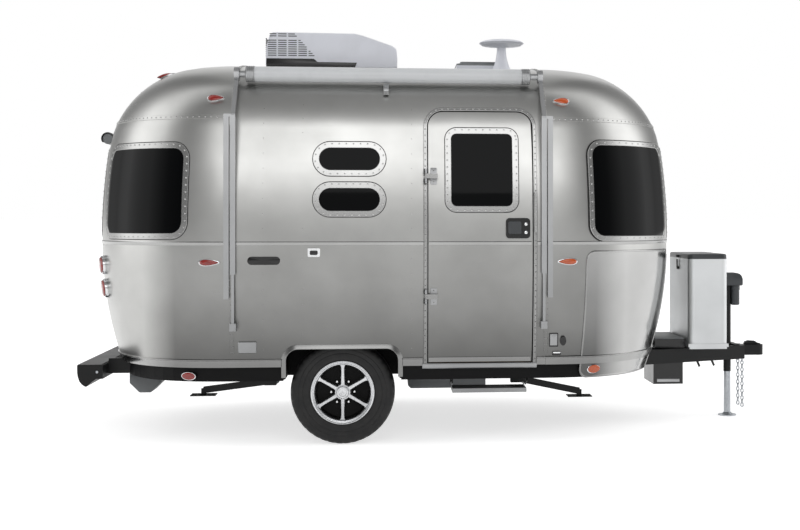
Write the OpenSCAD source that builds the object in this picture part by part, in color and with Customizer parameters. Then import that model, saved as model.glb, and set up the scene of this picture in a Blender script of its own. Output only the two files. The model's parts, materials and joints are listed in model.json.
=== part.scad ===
// Two-wheel travel caravan: a hollow cabin of curved wall panels with two double-curved end shells,
// carried on a steel frame with one torsion axle and a drawbar that stands on its tongue jack.
// Millimetres. +X points forward to the coupler, +Y to the road side, +Z up.
// The origin is on the ground under the middle of the body; the door is on the -Y side.

/* [Body] */
// Half of the body's width at the belt line
side_w = 1220; // [1050:5:1300]
// Height of the belt line, where the body is widest
belt_z = 1352; // [1300:2:1400]
// Bottom edge of the wall panels
shell_z = 545; // [540:1:560]
// Half of the body's width at the bottom edge
side_foot_w = 1150; // [1140:2:1170]
// Thickness of every wall panel
wall = 50; // [40:1:60]
// Radius of the wall's curve above the belt line
wall_r = 3700; // [3400:20:4200]
// Radius of the roof's shoulder
shoulder_r = 570; // [520:5:620]
// Rear end of the straight part of the body
seam_rear = -1415; // [-1600:5:-1350]
// Front end of the straight part of the body
seam_front = 665; // [655:5:900]
// How far each end shell reaches past its seam at the belt line
end_len = 1020; // [960:5:1100]
// How far each end shell reaches past its seam at its bottom edge
end_foot_len = 890; // [860:5:940]
// Squareness of the end shells in plan, where 2 is an ellipse
plan_n = 2.4; // [2.1:0.05:3]
// Thickness of the window panes
pane = 8; // [5:1:12]

/* [Door] */
// Edge of the door leaf on its hinge side
door_x0 = -125; // [-200:5:-100]
// Width of the door leaf
door_w = 696; // [600:4:700]
// Bottom edge of the door leaf
door_z0 = 555; // [552:1:562]
// Height of the door leaf
door_h = 1680; // [1600:5:1700]
// Radius of the door's upper corners
door_r = 100; // [60:5:140]
// Clear gap all round the door leaf
door_gap = 8; // [7:1:9]
// Distance of the hinge axis from the middle of the body
hinge_y = -1240; // [-1250:1:-1235]

/* [Running gear] */
// Position of the wheel centres along the body
axle_x = -695; // [-720:5:-650]
// Outer radius of the tyres, which is also the height of the wheel centres
tyre_r = 350; // [330:1:360]
// Width of the tyres
tyre_w = 215; // [190:5:220]
// Distance from the middle of the body to the outer side of each tyre
tyre_out = 1090; // [1070:2:1092]
// Radius of the rim's bead seat
rim_r = 190.5; // [180:0.5:200]
// Lug nuts on each wheel
lugs = 6; // [5:1:8]
// Radius of the lug nut circle
lug_circle_r = 69.85; // [57:0.05:75]
// Width of the wheel arch opening
arch_w = 740; // [736:2:800]
// Top of the wheel arch opening
arch_z = 651; // [620:1:690]

/* [Frame] */
// Bottom of the frame rails
rail_z = 441; // [430:1:450]
// Width of the frame rails
rail_w = 50; // [40:1:60]
// Distance of the main rails from the middle
rail_y = 560; // [500:5:600]
// Rear face of the bumper
bumper_x = -2495; // [-2520:1:-2480]
// Length of the bumper across the body
bumper_w = 1560; // [1300:5:1700]
// Position of the ball socket in the coupler
ball_x = 2449; // [2440:1:2460]
// Radius of the ball socket
ball_r = 29.6; // [25:0.1:30]
// Position of the tongue jack
jack_x = 2215; // [2205:1:2230]

/* [Roof equipment] */
// Length of the air conditioner
cooler_len = 950; // [850:5:1050]
// Width of the air conditioner
cooler_w = 710; // [600:5:760]
// Height of the air conditioner above the roof
cooler_h = 235; // [200:5:260]
// Radius of the awning roller
awning_r = 55; // [45:1:60]

/* [Hidden] */
$fn = 48;

fit = 0.3;                       // gap between fixed pieces that seat on one another

// Cross-section: one arc below the belt, then wall, shoulder and crown arcs that meet in tangents.
wall_lean = 12;                  // lean of the wall where the shoulder starts
crown_lean = 79;                 // lean where the shoulder ends and the crown starts
split_lean = 46;                 // lean where the side walls end and the roof panel starts
foot_r = (pow(belt_z - shell_z, 2) + pow(side_w - side_foot_w, 2)) / (2 * (side_w - side_foot_w));
shoulder_y = side_w - wall_r + (wall_r - shoulder_r) * cos(wall_lean);
shoulder_z = belt_z + (wall_r - shoulder_r) * sin(wall_lean);
crown_r = (shoulder_y + shoulder_r * cos(crown_lean)) / cos(crown_lean);
crown_z = shoulder_z + shoulder_r * sin(crown_lean) - crown_r * sin(crown_lean);
roof_z = crown_z + crown_r;

// Lengthwise profile of the end shells: the same four arcs, closed on the same roof height.
end_lean = 8;                    // lean of the end where its shoulder starts
end_crown_lean = 78;             // lean where its shoulder ends
end_shoulder_z = 2000;           // height where its shoulder starts
end_foot_r = (pow(belt_z - shell_z, 2) + pow(end_len - end_foot_len, 2))
    / (2 * (end_len - end_foot_len));
end_wall_r = (end_shoulder_z - belt_z) / sin(end_lean);
end_reach = end_len - end_wall_r * (1 - cos(end_lean));
crown_slope = (1 - sin(end_crown_lean)) / cos(end_crown_lean);
end_r = (roof_z - end_shoulder_z - end_reach * crown_slope)
    / (sin(end_crown_lean) - sin(end_lean) - (cos(end_lean) - cos(end_crown_lean)) * crown_slope);
end_c = end_reach - end_r * cos(end_lean);
end_cz = end_shoulder_z - end_r * sin(end_lean);
end_crown_r = (end_c + end_r * cos(end_crown_lean)) / cos(end_crown_lean);
end_crown_cz = end_cz + end_r * sin(end_crown_lean) - end_crown_r * sin(end_crown_lean);

// Offset at height z of an arc with radius r and centre [c, cz], set in by t
function arc_at(z, t, r, c, cz) = c + sqrt(max(0, pow(r - t, 2) - pow(z - cz, 2)));

// Half width of the body at height z, set in by t from the outer skin
function side_half(z, t = 0) =
    z <= belt_z ? arc_at(z, t, foot_r, side_w - foot_r, belt_z)
    : z <= belt_z + (wall_r - t) * sin(wall_lean) ? arc_at(z, t, wall_r, side_w - wall_r, belt_z)
    : z <= shoulder_z + (shoulder_r - t) * sin(crown_lean)
        ? arc_at(z, t, shoulder_r, shoulder_y, shoulder_z)
    : arc_at(z, t, crown_r, 0, crown_z);

// Reach of an end shell past its seam at height z, set in by t
function end_half(z, t = 0) =
    z <= belt_z ? arc_at(z, t, end_foot_r, end_len - end_foot_r, belt_z)
    : z <= belt_z + (end_wall_r - t) * sin(end_lean)
        ? arc_at(z, t, end_wall_r, end_len - end_wall_r, belt_z)
    : z <= end_cz + (end_r - t) * sin(end_crown_lean) ? arc_at(z, t, end_r, end_c, end_cz)
    : arc_at(z, t, end_crown_r, 0, end_crown_cz);

// Height on the cross-section where the skin leans by a degrees, set in by t
function lean_z(a, t = 0) =
    a <= wall_lean ? belt_z + (wall_r - t) * sin(a)
    : a <= crown_lean ? shoulder_z + (shoulder_r - t) * sin(a)
    : crown_z + (crown_r - t) * sin(a);

foot_row = (belt_z - shell_z) / 5;
foot_levels = [for (i = [0:5]) shell_z + foot_row * i];
function wall_levels(t) = concat(foot_levels,
    [for (i = [1:3]) lean_z(wall_lean * i / 3, t)],
    [for (i = [1:5]) lean_z(wall_lean + (split_lean - wall_lean) * i / 5, t)]);
function roof_levels(t) = concat(
    [for (i = [0:4]) lean_z(split_lean + (crown_lean - split_lean) * i / 4, t)],
    [for (i = [1:3]) lean_z(crown_lean + (90 - crown_lean) * i / 4, t)]);
function end_levels(t) = concat(wall_levels(t), [for (i = [1:7]) roof_levels(t)[i]]);

function signed_power(v, e) = sign(v) * pow(abs(v), e);
function reversed(list) = [for (i = [len(list) - 1:-1:0]) list[i]];

// Point on an end shell, from its seam: plan angle a runs from -90 (near side) to 90 (far side)
function end_point(a, z, t = 0) = [end_half(z, t) * pow(cos(a), 2 / plan_n),
    side_half(z, t) * signed_power(sin(a), 2 / plan_n), z];
// Half width of the body at distance x past a seam
function end_side(x, z, t = 0) =
    side_half(z, t) * pow(max(0, 1 - pow(x / end_half(z, t), plan_n)), 1 / plan_n);
// Reach of an end shell at distance y from the middle
function end_front(y, z, t = 0) =
    end_half(z, t) * pow(max(0, 1 - pow(abs(y) / side_half(z, t), plan_n)), 1 / plan_n);

// Outline with rounded corners, as points
function rounded(x0, y0, x1, y1, r) = [for (c = [[x1 - r, y1 - r, 0], [x0 + r, y1 - r, 90],
    [x0 + r, y0 + r, 180], [x1 - r, y0 + r, 270]], i = [0:6])
    [c[0] + r * cos(c[2] + i * 15), c[1] + r * sin(c[2] + i * 15)]];
// Outline with rounded upper corners only
function arched(x0, y0, x1, y1, r) = concat([[x0, y0], [x1, y0]],
    [for (i = [0:6]) [x1 - r + r * cos(i * 15), y1 - r + r * sin(i * 15)]],
    [for (i = [0:6]) [x0 + r - r * sin(i * 15), y1 - r + r * cos(i * 15)]]);

// A [y, z] outline drawn along X, and an [x, z] outline drawn along Y
module along_x(x0, x1) translate([x0, 0, 0]) rotate([90, 0, 90]) linear_extrude(x1 - x0) children();
module along_y(y0, y1) translate([0, y1, 0]) rotate([90, 0, 0]) linear_extrude(y1 - y0) children();
module block(lo, hi) translate(lo) cube(hi - lo);
module both_sides() { children(); mirror([0, 1, 0]) children(); }
module from_rear() translate([seam_rear, 0, 0]) mirror([1, 0, 0]) children();
module from_front() translate([seam_front, 0, 0]) children();

// Near side wall band between insets t0 (outside) and t1 (inside)
module wall_band(x0, x1, t0, t1, low = foot_levels[0])
    along_x(x0, x1) polygon(concat([for (z = concat([low], wall_levels(t0))) [-side_half(z, t0), z]],
        reversed([for (z = concat([low], wall_levels(t1))) [-side_half(z, t1), z]])));
// Everything inside the cross-section, set in by t
module body_solid(x0, x1, t, low = shell_z) along_x(x0, x1)
    polygon(concat([[-side_half(low, t), low]],
        [for (z = end_levels(t)) if (z > low) [-side_half(z, t), z]], [[0, roof_z - t]],
        reversed([for (z = end_levels(t)) if (z > low) [side_half(z, t), z]]),
        [[side_half(low, t), low]]));

/* End shells */
end_cols = 30;                   // steps across an end shell in plan

module end_shell() {
    out = end_levels(0);
    in = end_levels(wall);
    rows = len(out);
    cols = end_cols + 1;
    function at(i, j) = i * cols + j;
    apex = 2 * rows * cols;
    inner = rows * cols;
    pts = concat(
        [for (z = out, j = [0:end_cols]) end_point(-90 + 180 * j / end_cols, z)],
        [for (z = in, j = [0:end_cols]) end_point(-90 + 180 * j / end_cols, z, wall)],
        [[0, 0, roof_z], [0, 0, roof_z - wall]]);
    skins = [for (i = [0:rows - 2], j = [0:end_cols - 1])
        each [[at(i, j), at(i + 1, j), at(i + 1, j + 1), at(i, j + 1)],
            [inner + at(i, j), inner + at(i, j + 1), inner + at(i + 1, j + 1), inner + at(i + 1, j)]]];
    top = [for (j = [0:end_cols - 1]) each [[at(rows - 1, j), apex, at(rows - 1, j + 1)],
        [inner + at(rows - 1, j), inner + at(rows - 1, j + 1), apex + 1]]];
    foot = [for (j = [0:end_cols - 1]) [j, j + 1, inner + j + 1, inner + j]];
    seams = [for (i = [0:rows - 2]) each [
        [inner + at(i, 0), inner + at(i + 1, 0), at(i + 1, 0), at(i, 0)],
        [at(i, end_cols), at(i + 1, end_cols), inner + at(i + 1, end_cols), inner + at(i, end_cols)]]];
    last = rows - 1;
    closing = [[inner + at(last, 0), apex + 1, apex, at(last, 0)],
        [at(last, end_cols), apex, apex + 1, inner + at(last, end_cols)]];
    polyhedron(pts, concat(skins, top, foot, seams, closing));
}

corner_turn = 0.073;             // plan angle that one millimetre spans near a window's corner

// A rounded window-shaped plug through an end shell, between plan angles a0 and a1
module end_plug(a0, a1, z0, z1, r, t0, t1) {
    turn = r * corner_turn;
    edge = [for (c = [[a1 - turn, z1 - r, 0], [a0 + turn, z1 - r, 90], [a0 + turn, z0 + r, 180],
        [a1 - turn, z0 + r, 270]], i = [0:5])
        [c[0] + turn * cos(c[2] + i * 18), c[1] + r * sin(c[2] + i * 18)]];
    steps = [for (i = [0:len(edge) - 1]) let (p = edge[i], q = edge[(i + 1) % len(edge)],
        n = max(1, ceil(abs(q[0] - p[0]) / 6))) for (k = [0:n - 1]) p + (q - p) * k / n];
    n = len(steps);
    mid = [(a0 + a1) / 2, (z0 + z1) / 2];
    pts = concat([for (s = steps) end_point(s[0], s[1], t0)], [for (s = steps) end_point(s[0], s[1], t1)],
        [end_point(mid[0], mid[1], t0), end_point(mid[0], mid[1], t1)]);
    polyhedron(pts, [for (i = [0:n - 1]) let (k = (i + 1) % n)
        each [[i, 2 * n, k], [n + i, n + k, 2 * n + 1], [i, k, n + k, n + i]]]);
}

// A piece of skin on an end shell between plan angles and heights, between insets t0 and t1
module end_skin(a0, a1, z0, z1, t0, t1, cols = 12, rows = 6) {
    function at(i, j) = i * (cols + 1) + j;
    n = (rows + 1) * (cols + 1);
    pts = [for (t = [t0, t1], i = [0:rows], j = [0:cols])
        end_point(a0 + (a1 - a0) * j / cols, z0 + (z1 - z0) * i / rows, t)];
    skins = [for (i = [0:rows - 1], j = [0:cols - 1])
        each [[at(i, j), at(i + 1, j), at(i + 1, j + 1), at(i, j + 1)],
            [n + at(i, j), n + at(i, j + 1), n + at(i + 1, j + 1), n + at(i + 1, j)]]];
    ends = [for (i = [0:rows - 1]) each [[n + at(i, 0), n + at(i + 1, 0), at(i + 1, 0), at(i, 0)],
        [at(i, cols), at(i + 1, cols), n + at(i + 1, cols), n + at(i, cols)]]];
    edges = [for (j = [0:cols - 1]) each [[at(0, j), at(0, j + 1), n + at(0, j + 1), n + at(0, j)],
        [at(rows, j), n + at(rows, j), n + at(rows, j + 1), at(rows, j + 1)]]];
    polyhedron(pts, concat(skins, ends, edges));
}

// Windows in an end shell: [first plan angle, last plan angle]
end_wraps = [[-75.5, -32], [32, 75.5]];
end_centre = [-13.5, 13.5];
rear_glass_z = [1416, 1985];
front_glass_z = [1395, 2020];
glass_r = 80;

module end_openings(z) for (w = concat(end_wraps, [end_centre]))
    end_plug(w[0], w[1], z[0], z[1], glass_r, -150, wall + 120);
module end_panes(z) for (w = concat(end_wraps, [end_centre])) intersection() {
    end_skin(w[0] - 2, w[1] + 2, z[0] - 10, z[1] + 10, 4, 4 + pane);
    end_plug(w[0] + 0.05, w[1] - 0.05, z[0] + fit, z[1] - fit, glass_r, -120, wall + 90);
}

module rear_shell() color("silver") from_rear() difference() { end_shell(); end_openings(rear_glass_z); }
module front_shell() color("silver") from_front() difference() { end_shell(); end_openings(front_glass_z); }
module rear_windows() color("#15171a") from_rear() end_panes(rear_glass_z);
module front_windows() color("#15171a") from_front() end_panes(front_glass_z);

// Polished stone guards on the lower front corners
guard_skin = 6;                  // thickness of a guard
guard_z = [440, 1295];
module stone_guards() color("silver") from_front() both_sides()
    intersection() {
        end_skin(-78, -24, shell_z - foot_row, belt_z, -fit - guard_skin, -fit, 9, 6);
        end_plug(-77.9, -24.1, guard_z[0], guard_z[1], 60, -80, 60);
    }

/* Side walls */
oval_x = [-850, -443];
ovals_z = [[1564, 1721], [1835, 1990]];
far_window = [[-100, 1420], [500, 2000]];

module oval_outlines(grow) for (z = ovals_z) polygon(rounded(oval_x[0] - grow, z[0] - grow,
    oval_x[1] + grow, z[1] + grow, (z[1] - z[0]) / 2 + grow));
module far_outline(grow) polygon(rounded(far_window[0][0] - grow, far_window[0][1] - grow,
    far_window[1][0] + grow, far_window[1][1] + grow, glass_r + grow));
module arch_outline(grow, low) polygon(arched(axle_x - arch_w / 2 - grow, low,
    axle_x + arch_w / 2 + grow, arch_z + grow, 80 + grow));
module door_outline(grow) polygon(arched(door_x0 - grow, door_z0 - grow, door_x0 + door_w + grow,
    door_z0 + door_h + grow, door_r + grow));

door_seat = 10;                  // the wall opening is this much larger than the leaf
module near_wall() color("silver") difference() {
    wall_band(seam_rear, seam_front, 0, wall);
    along_y(-1400, -900) oval_outlines(fit);
    along_y(-1400, -900) arch_outline(0, shell_z - 50);
    along_y(-1400, -900) door_outline(door_seat);
}
module far_wall() color("silver") mirror([0, 1, 0]) difference() {
    wall_band(seam_rear, seam_front, 0, wall);
    along_y(-1400, -900) oval_outlines(fit);
    along_y(-1400, -900) far_outline(fit);
    along_y(-1400, -900) arch_outline(0, shell_z - 50);
}
module side_windows() color("#15171a") {
    both_sides() intersection() {
        wall_band(seam_rear, seam_front, 4, 4 + pane);
        along_y(-1400, -900) oval_outlines(0);
    }
    mirror([0, 1, 0]) intersection() {
        wall_band(seam_rear, seam_front, 4, 4 + pane);
        along_y(-1400, -900) far_outline(0);
    }
}

vent_x = 320;                    // middle of the roof vent along the body
vent_y = 365;                    // and across it
vent_w = 330;                    // size of its opening each way
vent_flange = 20;                // how far its rim and lid reach past the opening
vent_rim = 12;                   // wall of its rim
vent_top = roof_z + 70;          // top of its rim
module roof_panel() color("silver") difference() {
    along_x(seam_rear, seam_front) polygon(concat(
        [for (z = roof_levels(0)) [-side_half(z), z]], [[0, roof_z]],
        reversed([for (z = roof_levels(0)) [side_half(z), z]]),
        [for (z = roof_levels(wall)) [side_half(z, wall), z]], [[0, roof_z - wall]],
        reversed([for (z = roof_levels(wall)) [-side_half(z, wall), z]])));
    block([vent_x - vent_w / 2, vent_y - vent_w / 2, roof_z - 200],
        [vent_x + vent_w / 2, vent_y + vent_w / 2, roof_z + 50]);
}

/* Floor and underside */
well_w = arch_w + 20;            // inside length of a wheel well
well_y = 800;                    // inboard side of a wheel well
well_top = 2 * tyre_r + 60;      // top of a wheel well, inside
well_wall = 10;
belly_z = 437;                   // underside of the closed belly
floor_t = 54;                    // thickness of the floor

// Plan outline of the body at height z, set in by t
function plan_outline(z, t) = concat(
    [for (j = [0:end_cols]) let (p = end_point(-90 + 180 * j / end_cols, z, t)) [seam_front + p[0], p[1]]],
    [for (j = [0:end_cols]) let (p = end_point(90 - 180 * j / end_cols, z, t)) [seam_rear - p[0], p[1]]]);

module well_zone(grow, low, high) both_sides()
    block([axle_x - well_w / 2 - grow, -1300, low], [axle_x + well_w / 2 + grow, -well_y + grow, high]);

module floor() color("#8a7a66") difference() {
    translate([0, 0, shell_z + fit]) linear_extrude(floor_t) polygon(plan_outline(shell_z, wall + 4));
    well_zone(well_wall + fit, 400, 900);
}

drawbar_x = 1100;                // where the drawbar rails' lines leave the main rails
rail_front = drawbar_x + 60;     // front end of the main rails, against the drawbar
drawbar_tip = 2340;              // front end of the drawbar rails
coupler_back = drawbar_tip - 6;  // where the coupler meets the drawbar
drawbar_y = 44;                  // their distance from the middle at the tip
rail_h = shell_z - rail_z;
rail_rear = bumper_x + 170;      // rear end of the main rails
drawbar_angle = atan((rail_y - drawbar_y) / (drawbar_tip - drawbar_x));
drawbar_len = (drawbar_tip - drawbar_x) / cos(drawbar_angle);

module drawbar_rail(grow) translate([drawbar_tip, -drawbar_y, rail_z - grow]) rotate(180 + drawbar_angle)
    translate([0, -rail_w / 2 - grow, 0]) cube([drawbar_len, rail_w + 2 * grow, rail_h + 2 * grow]);
module main_rail(grow) block([rail_rear, -rail_y - rail_w / 2 - grow, rail_z - grow],
    [rail_front - fit, -rail_y + rail_w / 2 + grow, shell_z + grow]);

module underbelly() color("#111213") difference() {
    translate([0, 0, belly_z]) linear_extrude(shell_z - belly_z) polygon(plan_outline(belly_z, 7));
    both_sides() main_rail(fit);
    both_sides() drawbar_rail(fit);
    well_zone(well_wall + fit, 400, 900);
}
module wheel_wells() color("#16181a") intersection() {
    difference() {
        well_zone(well_wall, belly_z + 5, well_top + well_wall);
        well_zone(0, belly_z - 5, well_top);
    }
    body_solid(seam_rear, seam_front, wall + fit, belly_z);
}

arch_band = 30;                  // width of the wheel arch trim
arch_flare = 18;                 // how far it stands out from the wall
module wheel_arch_trims() color("silver") both_sides() intersection() {
    wall_band(seam_rear, seam_front, -arch_flare, -fit, belly_z + 20);
    difference() {
        along_y(-1400, -900) arch_outline(arch_band, belly_z + 22);
        along_y(-1400, -900) arch_outline(0, belly_z);
    }
}

module frame_rails() color("#1a1b1c") both_sides() main_rail(0);
module drawbar() color("#1a1b1c") {
    intersection() {
        union() { drawbar_rail(0); mirror([0, 1, 0]) drawbar_rail(0); }
        block([rail_front, -900, 0], [coupler_back, 900, 900]);
    }
    block([coupler_back - 84, -drawbar_y, rail_z], [coupler_back, drawbar_y, rail_z + rail_h]);
}

/* Door */
module door_frame() color("silver") {
    intersection() {
        wall_band(seam_rear, seam_front, -8, -fit, shell_z - 33);
        difference() {
            along_y(-1400, -900) polygon(arched(door_x0 - 39, shell_z - 33, door_x0 + door_w + 34,
                door_z0 + door_h + 33, door_r + 33));
            along_y(-1400, -900) door_outline(door_gap);
        }
    }
    for (z = hinge_heights, e = [-1, 1]) translate([0, 0, z + e * knuckle_h]) {
        translate([hinge_x, hinge_y, -knuckle_h / 2 + knuckle_cut])
            cylinder(r = knuckle_r, h = knuckle_h - 2 * knuckle_cut);
        block([hinge_x - 16, hinge_y - 4, -knuckle_h / 2 + knuckle_cut],
            [hinge_x, hinge_y + 4, knuckle_h / 2 - knuckle_cut]);
        block([hinge_x - 16, hinge_y - 4, -knuckle_h / 2 + knuckle_cut],
            [hinge_x - 9, -side_half(z + e * knuckle_h) - 1, knuckle_h / 2 - knuckle_cut]);
    }
}
door_glass = [[24, 1596], [441, 2089]];
module door_glass_outline(grow) polygon(rounded(door_glass[0][0] - grow, door_glass[0][1] - grow,
    door_glass[1][0] + grow, door_glass[1][1] + grow, 40 + grow));
swing_extra = 3;                 // the leaf's free edge is rounded to this radius past its width
module door() color("silver") difference() {
    intersection() {
        wall_band(door_x0, door_x0 + door_w, 0, wall);
        along_y(-1400, -900) door_outline(0);
        translate([hinge_x, hinge_y, 0])
            cylinder(r = door_x0 + door_w - hinge_x + swing_extra, h = 3000, $fn = 96);
    }
    along_y(-1400, -900) door_glass_outline(fit);
}
module door_window() color("#15171a") intersection() {
    wall_band(door_x0, door_x0 + door_w, 4, 4 + pane);
    along_y(-1400, -900) door_glass_outline(0);
}
latch_lo = [391, 1384];
latch_hi = [554, 1520];
module door_latch() color("#1b1c1d") intersection() {
    wall_band(door_x0, door_x0 + door_w, -14, -fit);
    along_y(-1400, -900) polygon(rounded(latch_lo[0], latch_lo[1], latch_hi[0], latch_hi[1], 24));
}

hinge_x = door_x0 - 16;          // hinge axis, beside the leaf's rear edge
hinge_heights = [998, 1799];
knuckle_r = 8;
knuckle_h = 32;                  // height of each of a hinge's three knuckles
knuckle_cut = 0.2;               // half of the gap between knuckles
module door_hinges() color("#9a9c9e") for (z = hinge_heights) {
    low = z - knuckle_h / 2 + knuckle_cut;
    high = z + knuckle_h / 2 - knuckle_cut;
    difference() {
        union() {
            translate([hinge_x, hinge_y, low]) cylinder(r = knuckle_r, h = high - low);
            block([hinge_x, hinge_y - 4, low], [door_x0 + 60, hinge_y + 4, high]);
            block([door_x0 + 14, hinge_y, low], [door_x0 + 60, -side_half(z) + 30, high]);
        }
        wall_band(door_x0 - 60, door_x0 + 160, -fit, wall + 60);
    }
}

module grab_handle() color("#8d8f91") {
    x = door_x0 + door_w + 17;
    for (z = [1440, 1680]) difference() {
        block([x - 8, -side_w - 40, z - 12], [x + 8, -side_w + 40, z + 12]);
        wall_band(door_x0, seam_front, -8 - fit, wall + 60);
    }
    translate([x, -side_w - 34, 1430]) cylinder(r = 9, h = 260);
}

/* Axle and wheels */
tube_x = axle_x + 152;           // axle tube, ahead of the wheel centres
tube_half = 38;
tube_z = belly_z - 9 - tube_half;
arm_y = 810;                     // inboard face of the torsion arms
arm_t = 26;
spindle_r = 20;
plate_y = 868;                   // brake backing plate
spindle_end = 950;
module axle() color("#1a1b1c") {
    block([tube_x - tube_half, -arm_y + fit, tube_z - tube_half],
        [tube_x + tube_half, arm_y - fit, tube_z + tube_half]);
    both_sides() block([tube_x - 95, -rail_y - 45, tube_z + tube_half - 4],
        [tube_x + 95, -rail_y + 45, belly_z]);
}
module axle_arms() color("#202122") both_sides() {
    reach = [axle_x - tube_x, tyre_r - tube_z];
    translate([tube_x, -arm_y, tube_z]) rotate([90, 0, 0]) cylinder(r = 44, h = arm_t);
    translate([axle_x, -arm_y, tyre_r]) rotate([90, 0, 0]) cylinder(r = 36, h = arm_t);
    translate([tube_x, -arm_y - arm_t, tube_z]) rotate([0, -atan2(reach[1], reach[0]), 0])
        translate([0, 1, -31]) cube([norm(reach), arm_t - 2, 62]);
    translate([axle_x, -arm_y, tyre_r]) rotate([90, 0, 0]) cylinder(r = spindle_r, h = spindle_end - arm_y);
    translate([axle_x, -plate_y, tyre_r]) rotate([90, 0, 0]) cylinder(r = 128, h = 6);
    translate([axle_x, -arm_y - arm_t, tyre_r]) rotate([90, 0, 0])
        cylinder(r = 50, h = plate_y - arm_y - arm_t);
}

section_n = 2.7;                 // squareness of the tyre's section
tyre_mid_r = (tyre_r + rim_r) / 2;
tyre_half_h = (tyre_r - rim_r) / 2;
module tyre() rotate([90, 0, 0]) rotate_extrude($fn = 96) polygon([for (i = [0:35])
    [tyre_mid_r + tyre_half_h * signed_power(sin(i * 10), 2 / section_n),
        tyre_w / 2 * signed_power(cos(i * 10), 2 / section_n)]]);

lip_r = 204;                     // rim flange, outside the bead seat
rim_wall = 8;
face_y = 70;                     // outer face of the spokes, from the wheel's middle plane
face_t = 34;                     // thickness of the spokes
drum_r = 138;
cap_r = 36;
lug_r = 7.5;
wheel_y = tyre_out - tyre_w / 2; // middle plane of the wheels
drum_back = plate_y + 11 - wheel_y;
module rim() rotate([90, 0, 0]) {
    w = tyre_w / 2 - 14;
    difference() {
        union() {
            rotate_extrude($fn = 96) polygon([[rim_r - rim_wall, -w], [lip_r, -w], [lip_r, -w + 9],
                [rim_r - 1, -w + 14], [rim_r - 1, w - 14], [lip_r, w - 9], [lip_r, w],
                [rim_r - rim_wall, w]]);
            translate([0, 0, face_y - face_t]) cylinder(r = rim_r - rim_wall + 2, h = face_t);
        }
        for (i = [0:5]) rotate(i * 60 + 30) translate([0, 0, face_y - face_t - 5])
            linear_extrude(face_t + 20) polygon([[84, -8], [84, 8], [166, 62], [174, 0], [166, -62]]);
        for (i = [0:lugs - 1]) rotate(i * 360 / lugs) translate([lug_circle_r, 0, face_y - 14])
            cylinder(r = 13, h = 40);
    }
    translate([0, 0, face_y - 1]) cylinder(r = cap_r, h = 16);
    for (i = [0:lugs - 1]) rotate(i * 360 / lugs) translate([lug_circle_r, 0, face_y - 15])
        cylinder(r = lug_r, h = 24);
    difference() {
        union() {
            translate([0, 0, drum_back]) cylinder(r = drum_r, h = 60);
            translate([0, 0, drum_back + 50]) cylinder(r = 62, h = face_y - face_t - drum_back - 49);
        }
        translate([0, 0, drum_back - 1]) cylinder(r = spindle_r + fit, h = spindle_end - plate_y);
    }
}
module wheel_place(side) translate([axle_x, side * wheel_y, tyre_r]) rotate(side < 0 ? 0 : 180) children();
module near_tyre() color("#1c1d1e") wheel_place(-1) tyre();
module far_tyre() color("#1c1d1e") wheel_place(1) tyre();
module near_rim() color("#c9cbcd") wheel_place(-1) rim();
module far_rim() color("#c9cbcd") wheel_place(1) rim();

/* Rear bumper with its storage box */
bumper_z = [372, 518];
bumper_d = rail_rear - bumper_x;
bumper_wall = 5;
module rear_bumper() color("#161718") difference() {
    block([bumper_x, -bumper_w / 2, bumper_z[0]], [bumper_x + bumper_d, bumper_w / 2, bumper_z[1]]);
    block([bumper_x + bumper_wall, -bumper_w / 2 + bumper_wall, bumper_z[0] + bumper_wall],
        [bumper_x + bumper_d - bumper_wall, bumper_w / 2 - bumper_wall, bumper_z[1] + 50]);
}
lid_t = 4;
module bumper_lid() color("#2a2b2c") block([bumper_x + 2, -bumper_w / 2 + 2, bumper_z[1] + fit],
    [bumper_x + bumper_d - 10, bumper_w / 2 - 2, bumper_z[1] + fit + lid_t]);

/* Coupler and tongue jack */
coupler_z = [466, 545];
coupler_half = 46;
module coupler() color("#161718") {
    difference() {
        union() {
            translate([ball_x, 0, coupler_z[0]])
                cylinder(r = coupler_half, h = coupler_z[1] - coupler_z[0]);
            block([coupler_back + fit, -coupler_half, coupler_z[0]], [ball_x, coupler_half, coupler_z[1]]);
            translate([ball_x - 4, 0, coupler_z[0]]) cylinder(r = coupler_half + 4, h = 5);
        }
        translate([ball_x, 0, coupler_z[0] - 1]) cylinder(r = ball_r, h = 41);
        translate([ball_x, 0, coupler_z[0] + 40]) sphere(r = ball_r - 0.5);
    }
    block([ball_x - 70, -16, coupler_z[1] - 0.5], [ball_x - 4, 16, coupler_z[1] + 16]);
}

jack_r = 28.5;
leg_r = 25.4;
leg_gap = 0.5;
leg_top = 555;                   // top of the sliding leg, inside the tube
jack_low = 340;
jack_top = 850;
head_lo = [2150, -60];
head_hi = [2330, 60];
head_top = 1100;
jack_mount_z = rail_z + rail_h;
module jack_tube() color("#131415") {
    difference() {
        translate([jack_x, 0, jack_low]) cylinder(r = jack_r, h = jack_top + 5 - jack_low);
        translate([jack_x, 0, jack_low - 1]) cylinder(r = leg_r + leg_gap, h = jack_top - jack_low);
    }
    translate([0, 0, jack_top]) linear_extrude(head_top - jack_top)
        polygon(rounded(head_lo[0], head_lo[1], head_hi[0], head_hi[1], 30));
    difference() {
        block([jack_x - 70, -110, jack_mount_z + fit], [jack_x + 70, 110, jack_mount_z + 10]);
        translate([jack_x, 0, jack_mount_z - 1]) cylinder(r = jack_r - 1, h = 20);
    }
}
foot_disc_r = 71;
module jack_leg() color("#b9bcbe") {
    translate([jack_x, 0, 4]) cylinder(r = leg_r, h = leg_top - 4);
    translate([jack_x, 0, 0]) cylinder(r = foot_disc_r, h = 8);
    translate([jack_x, 0, 7]) cylinder(r1 = 46, r2 = 27, h = 18);
}

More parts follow.
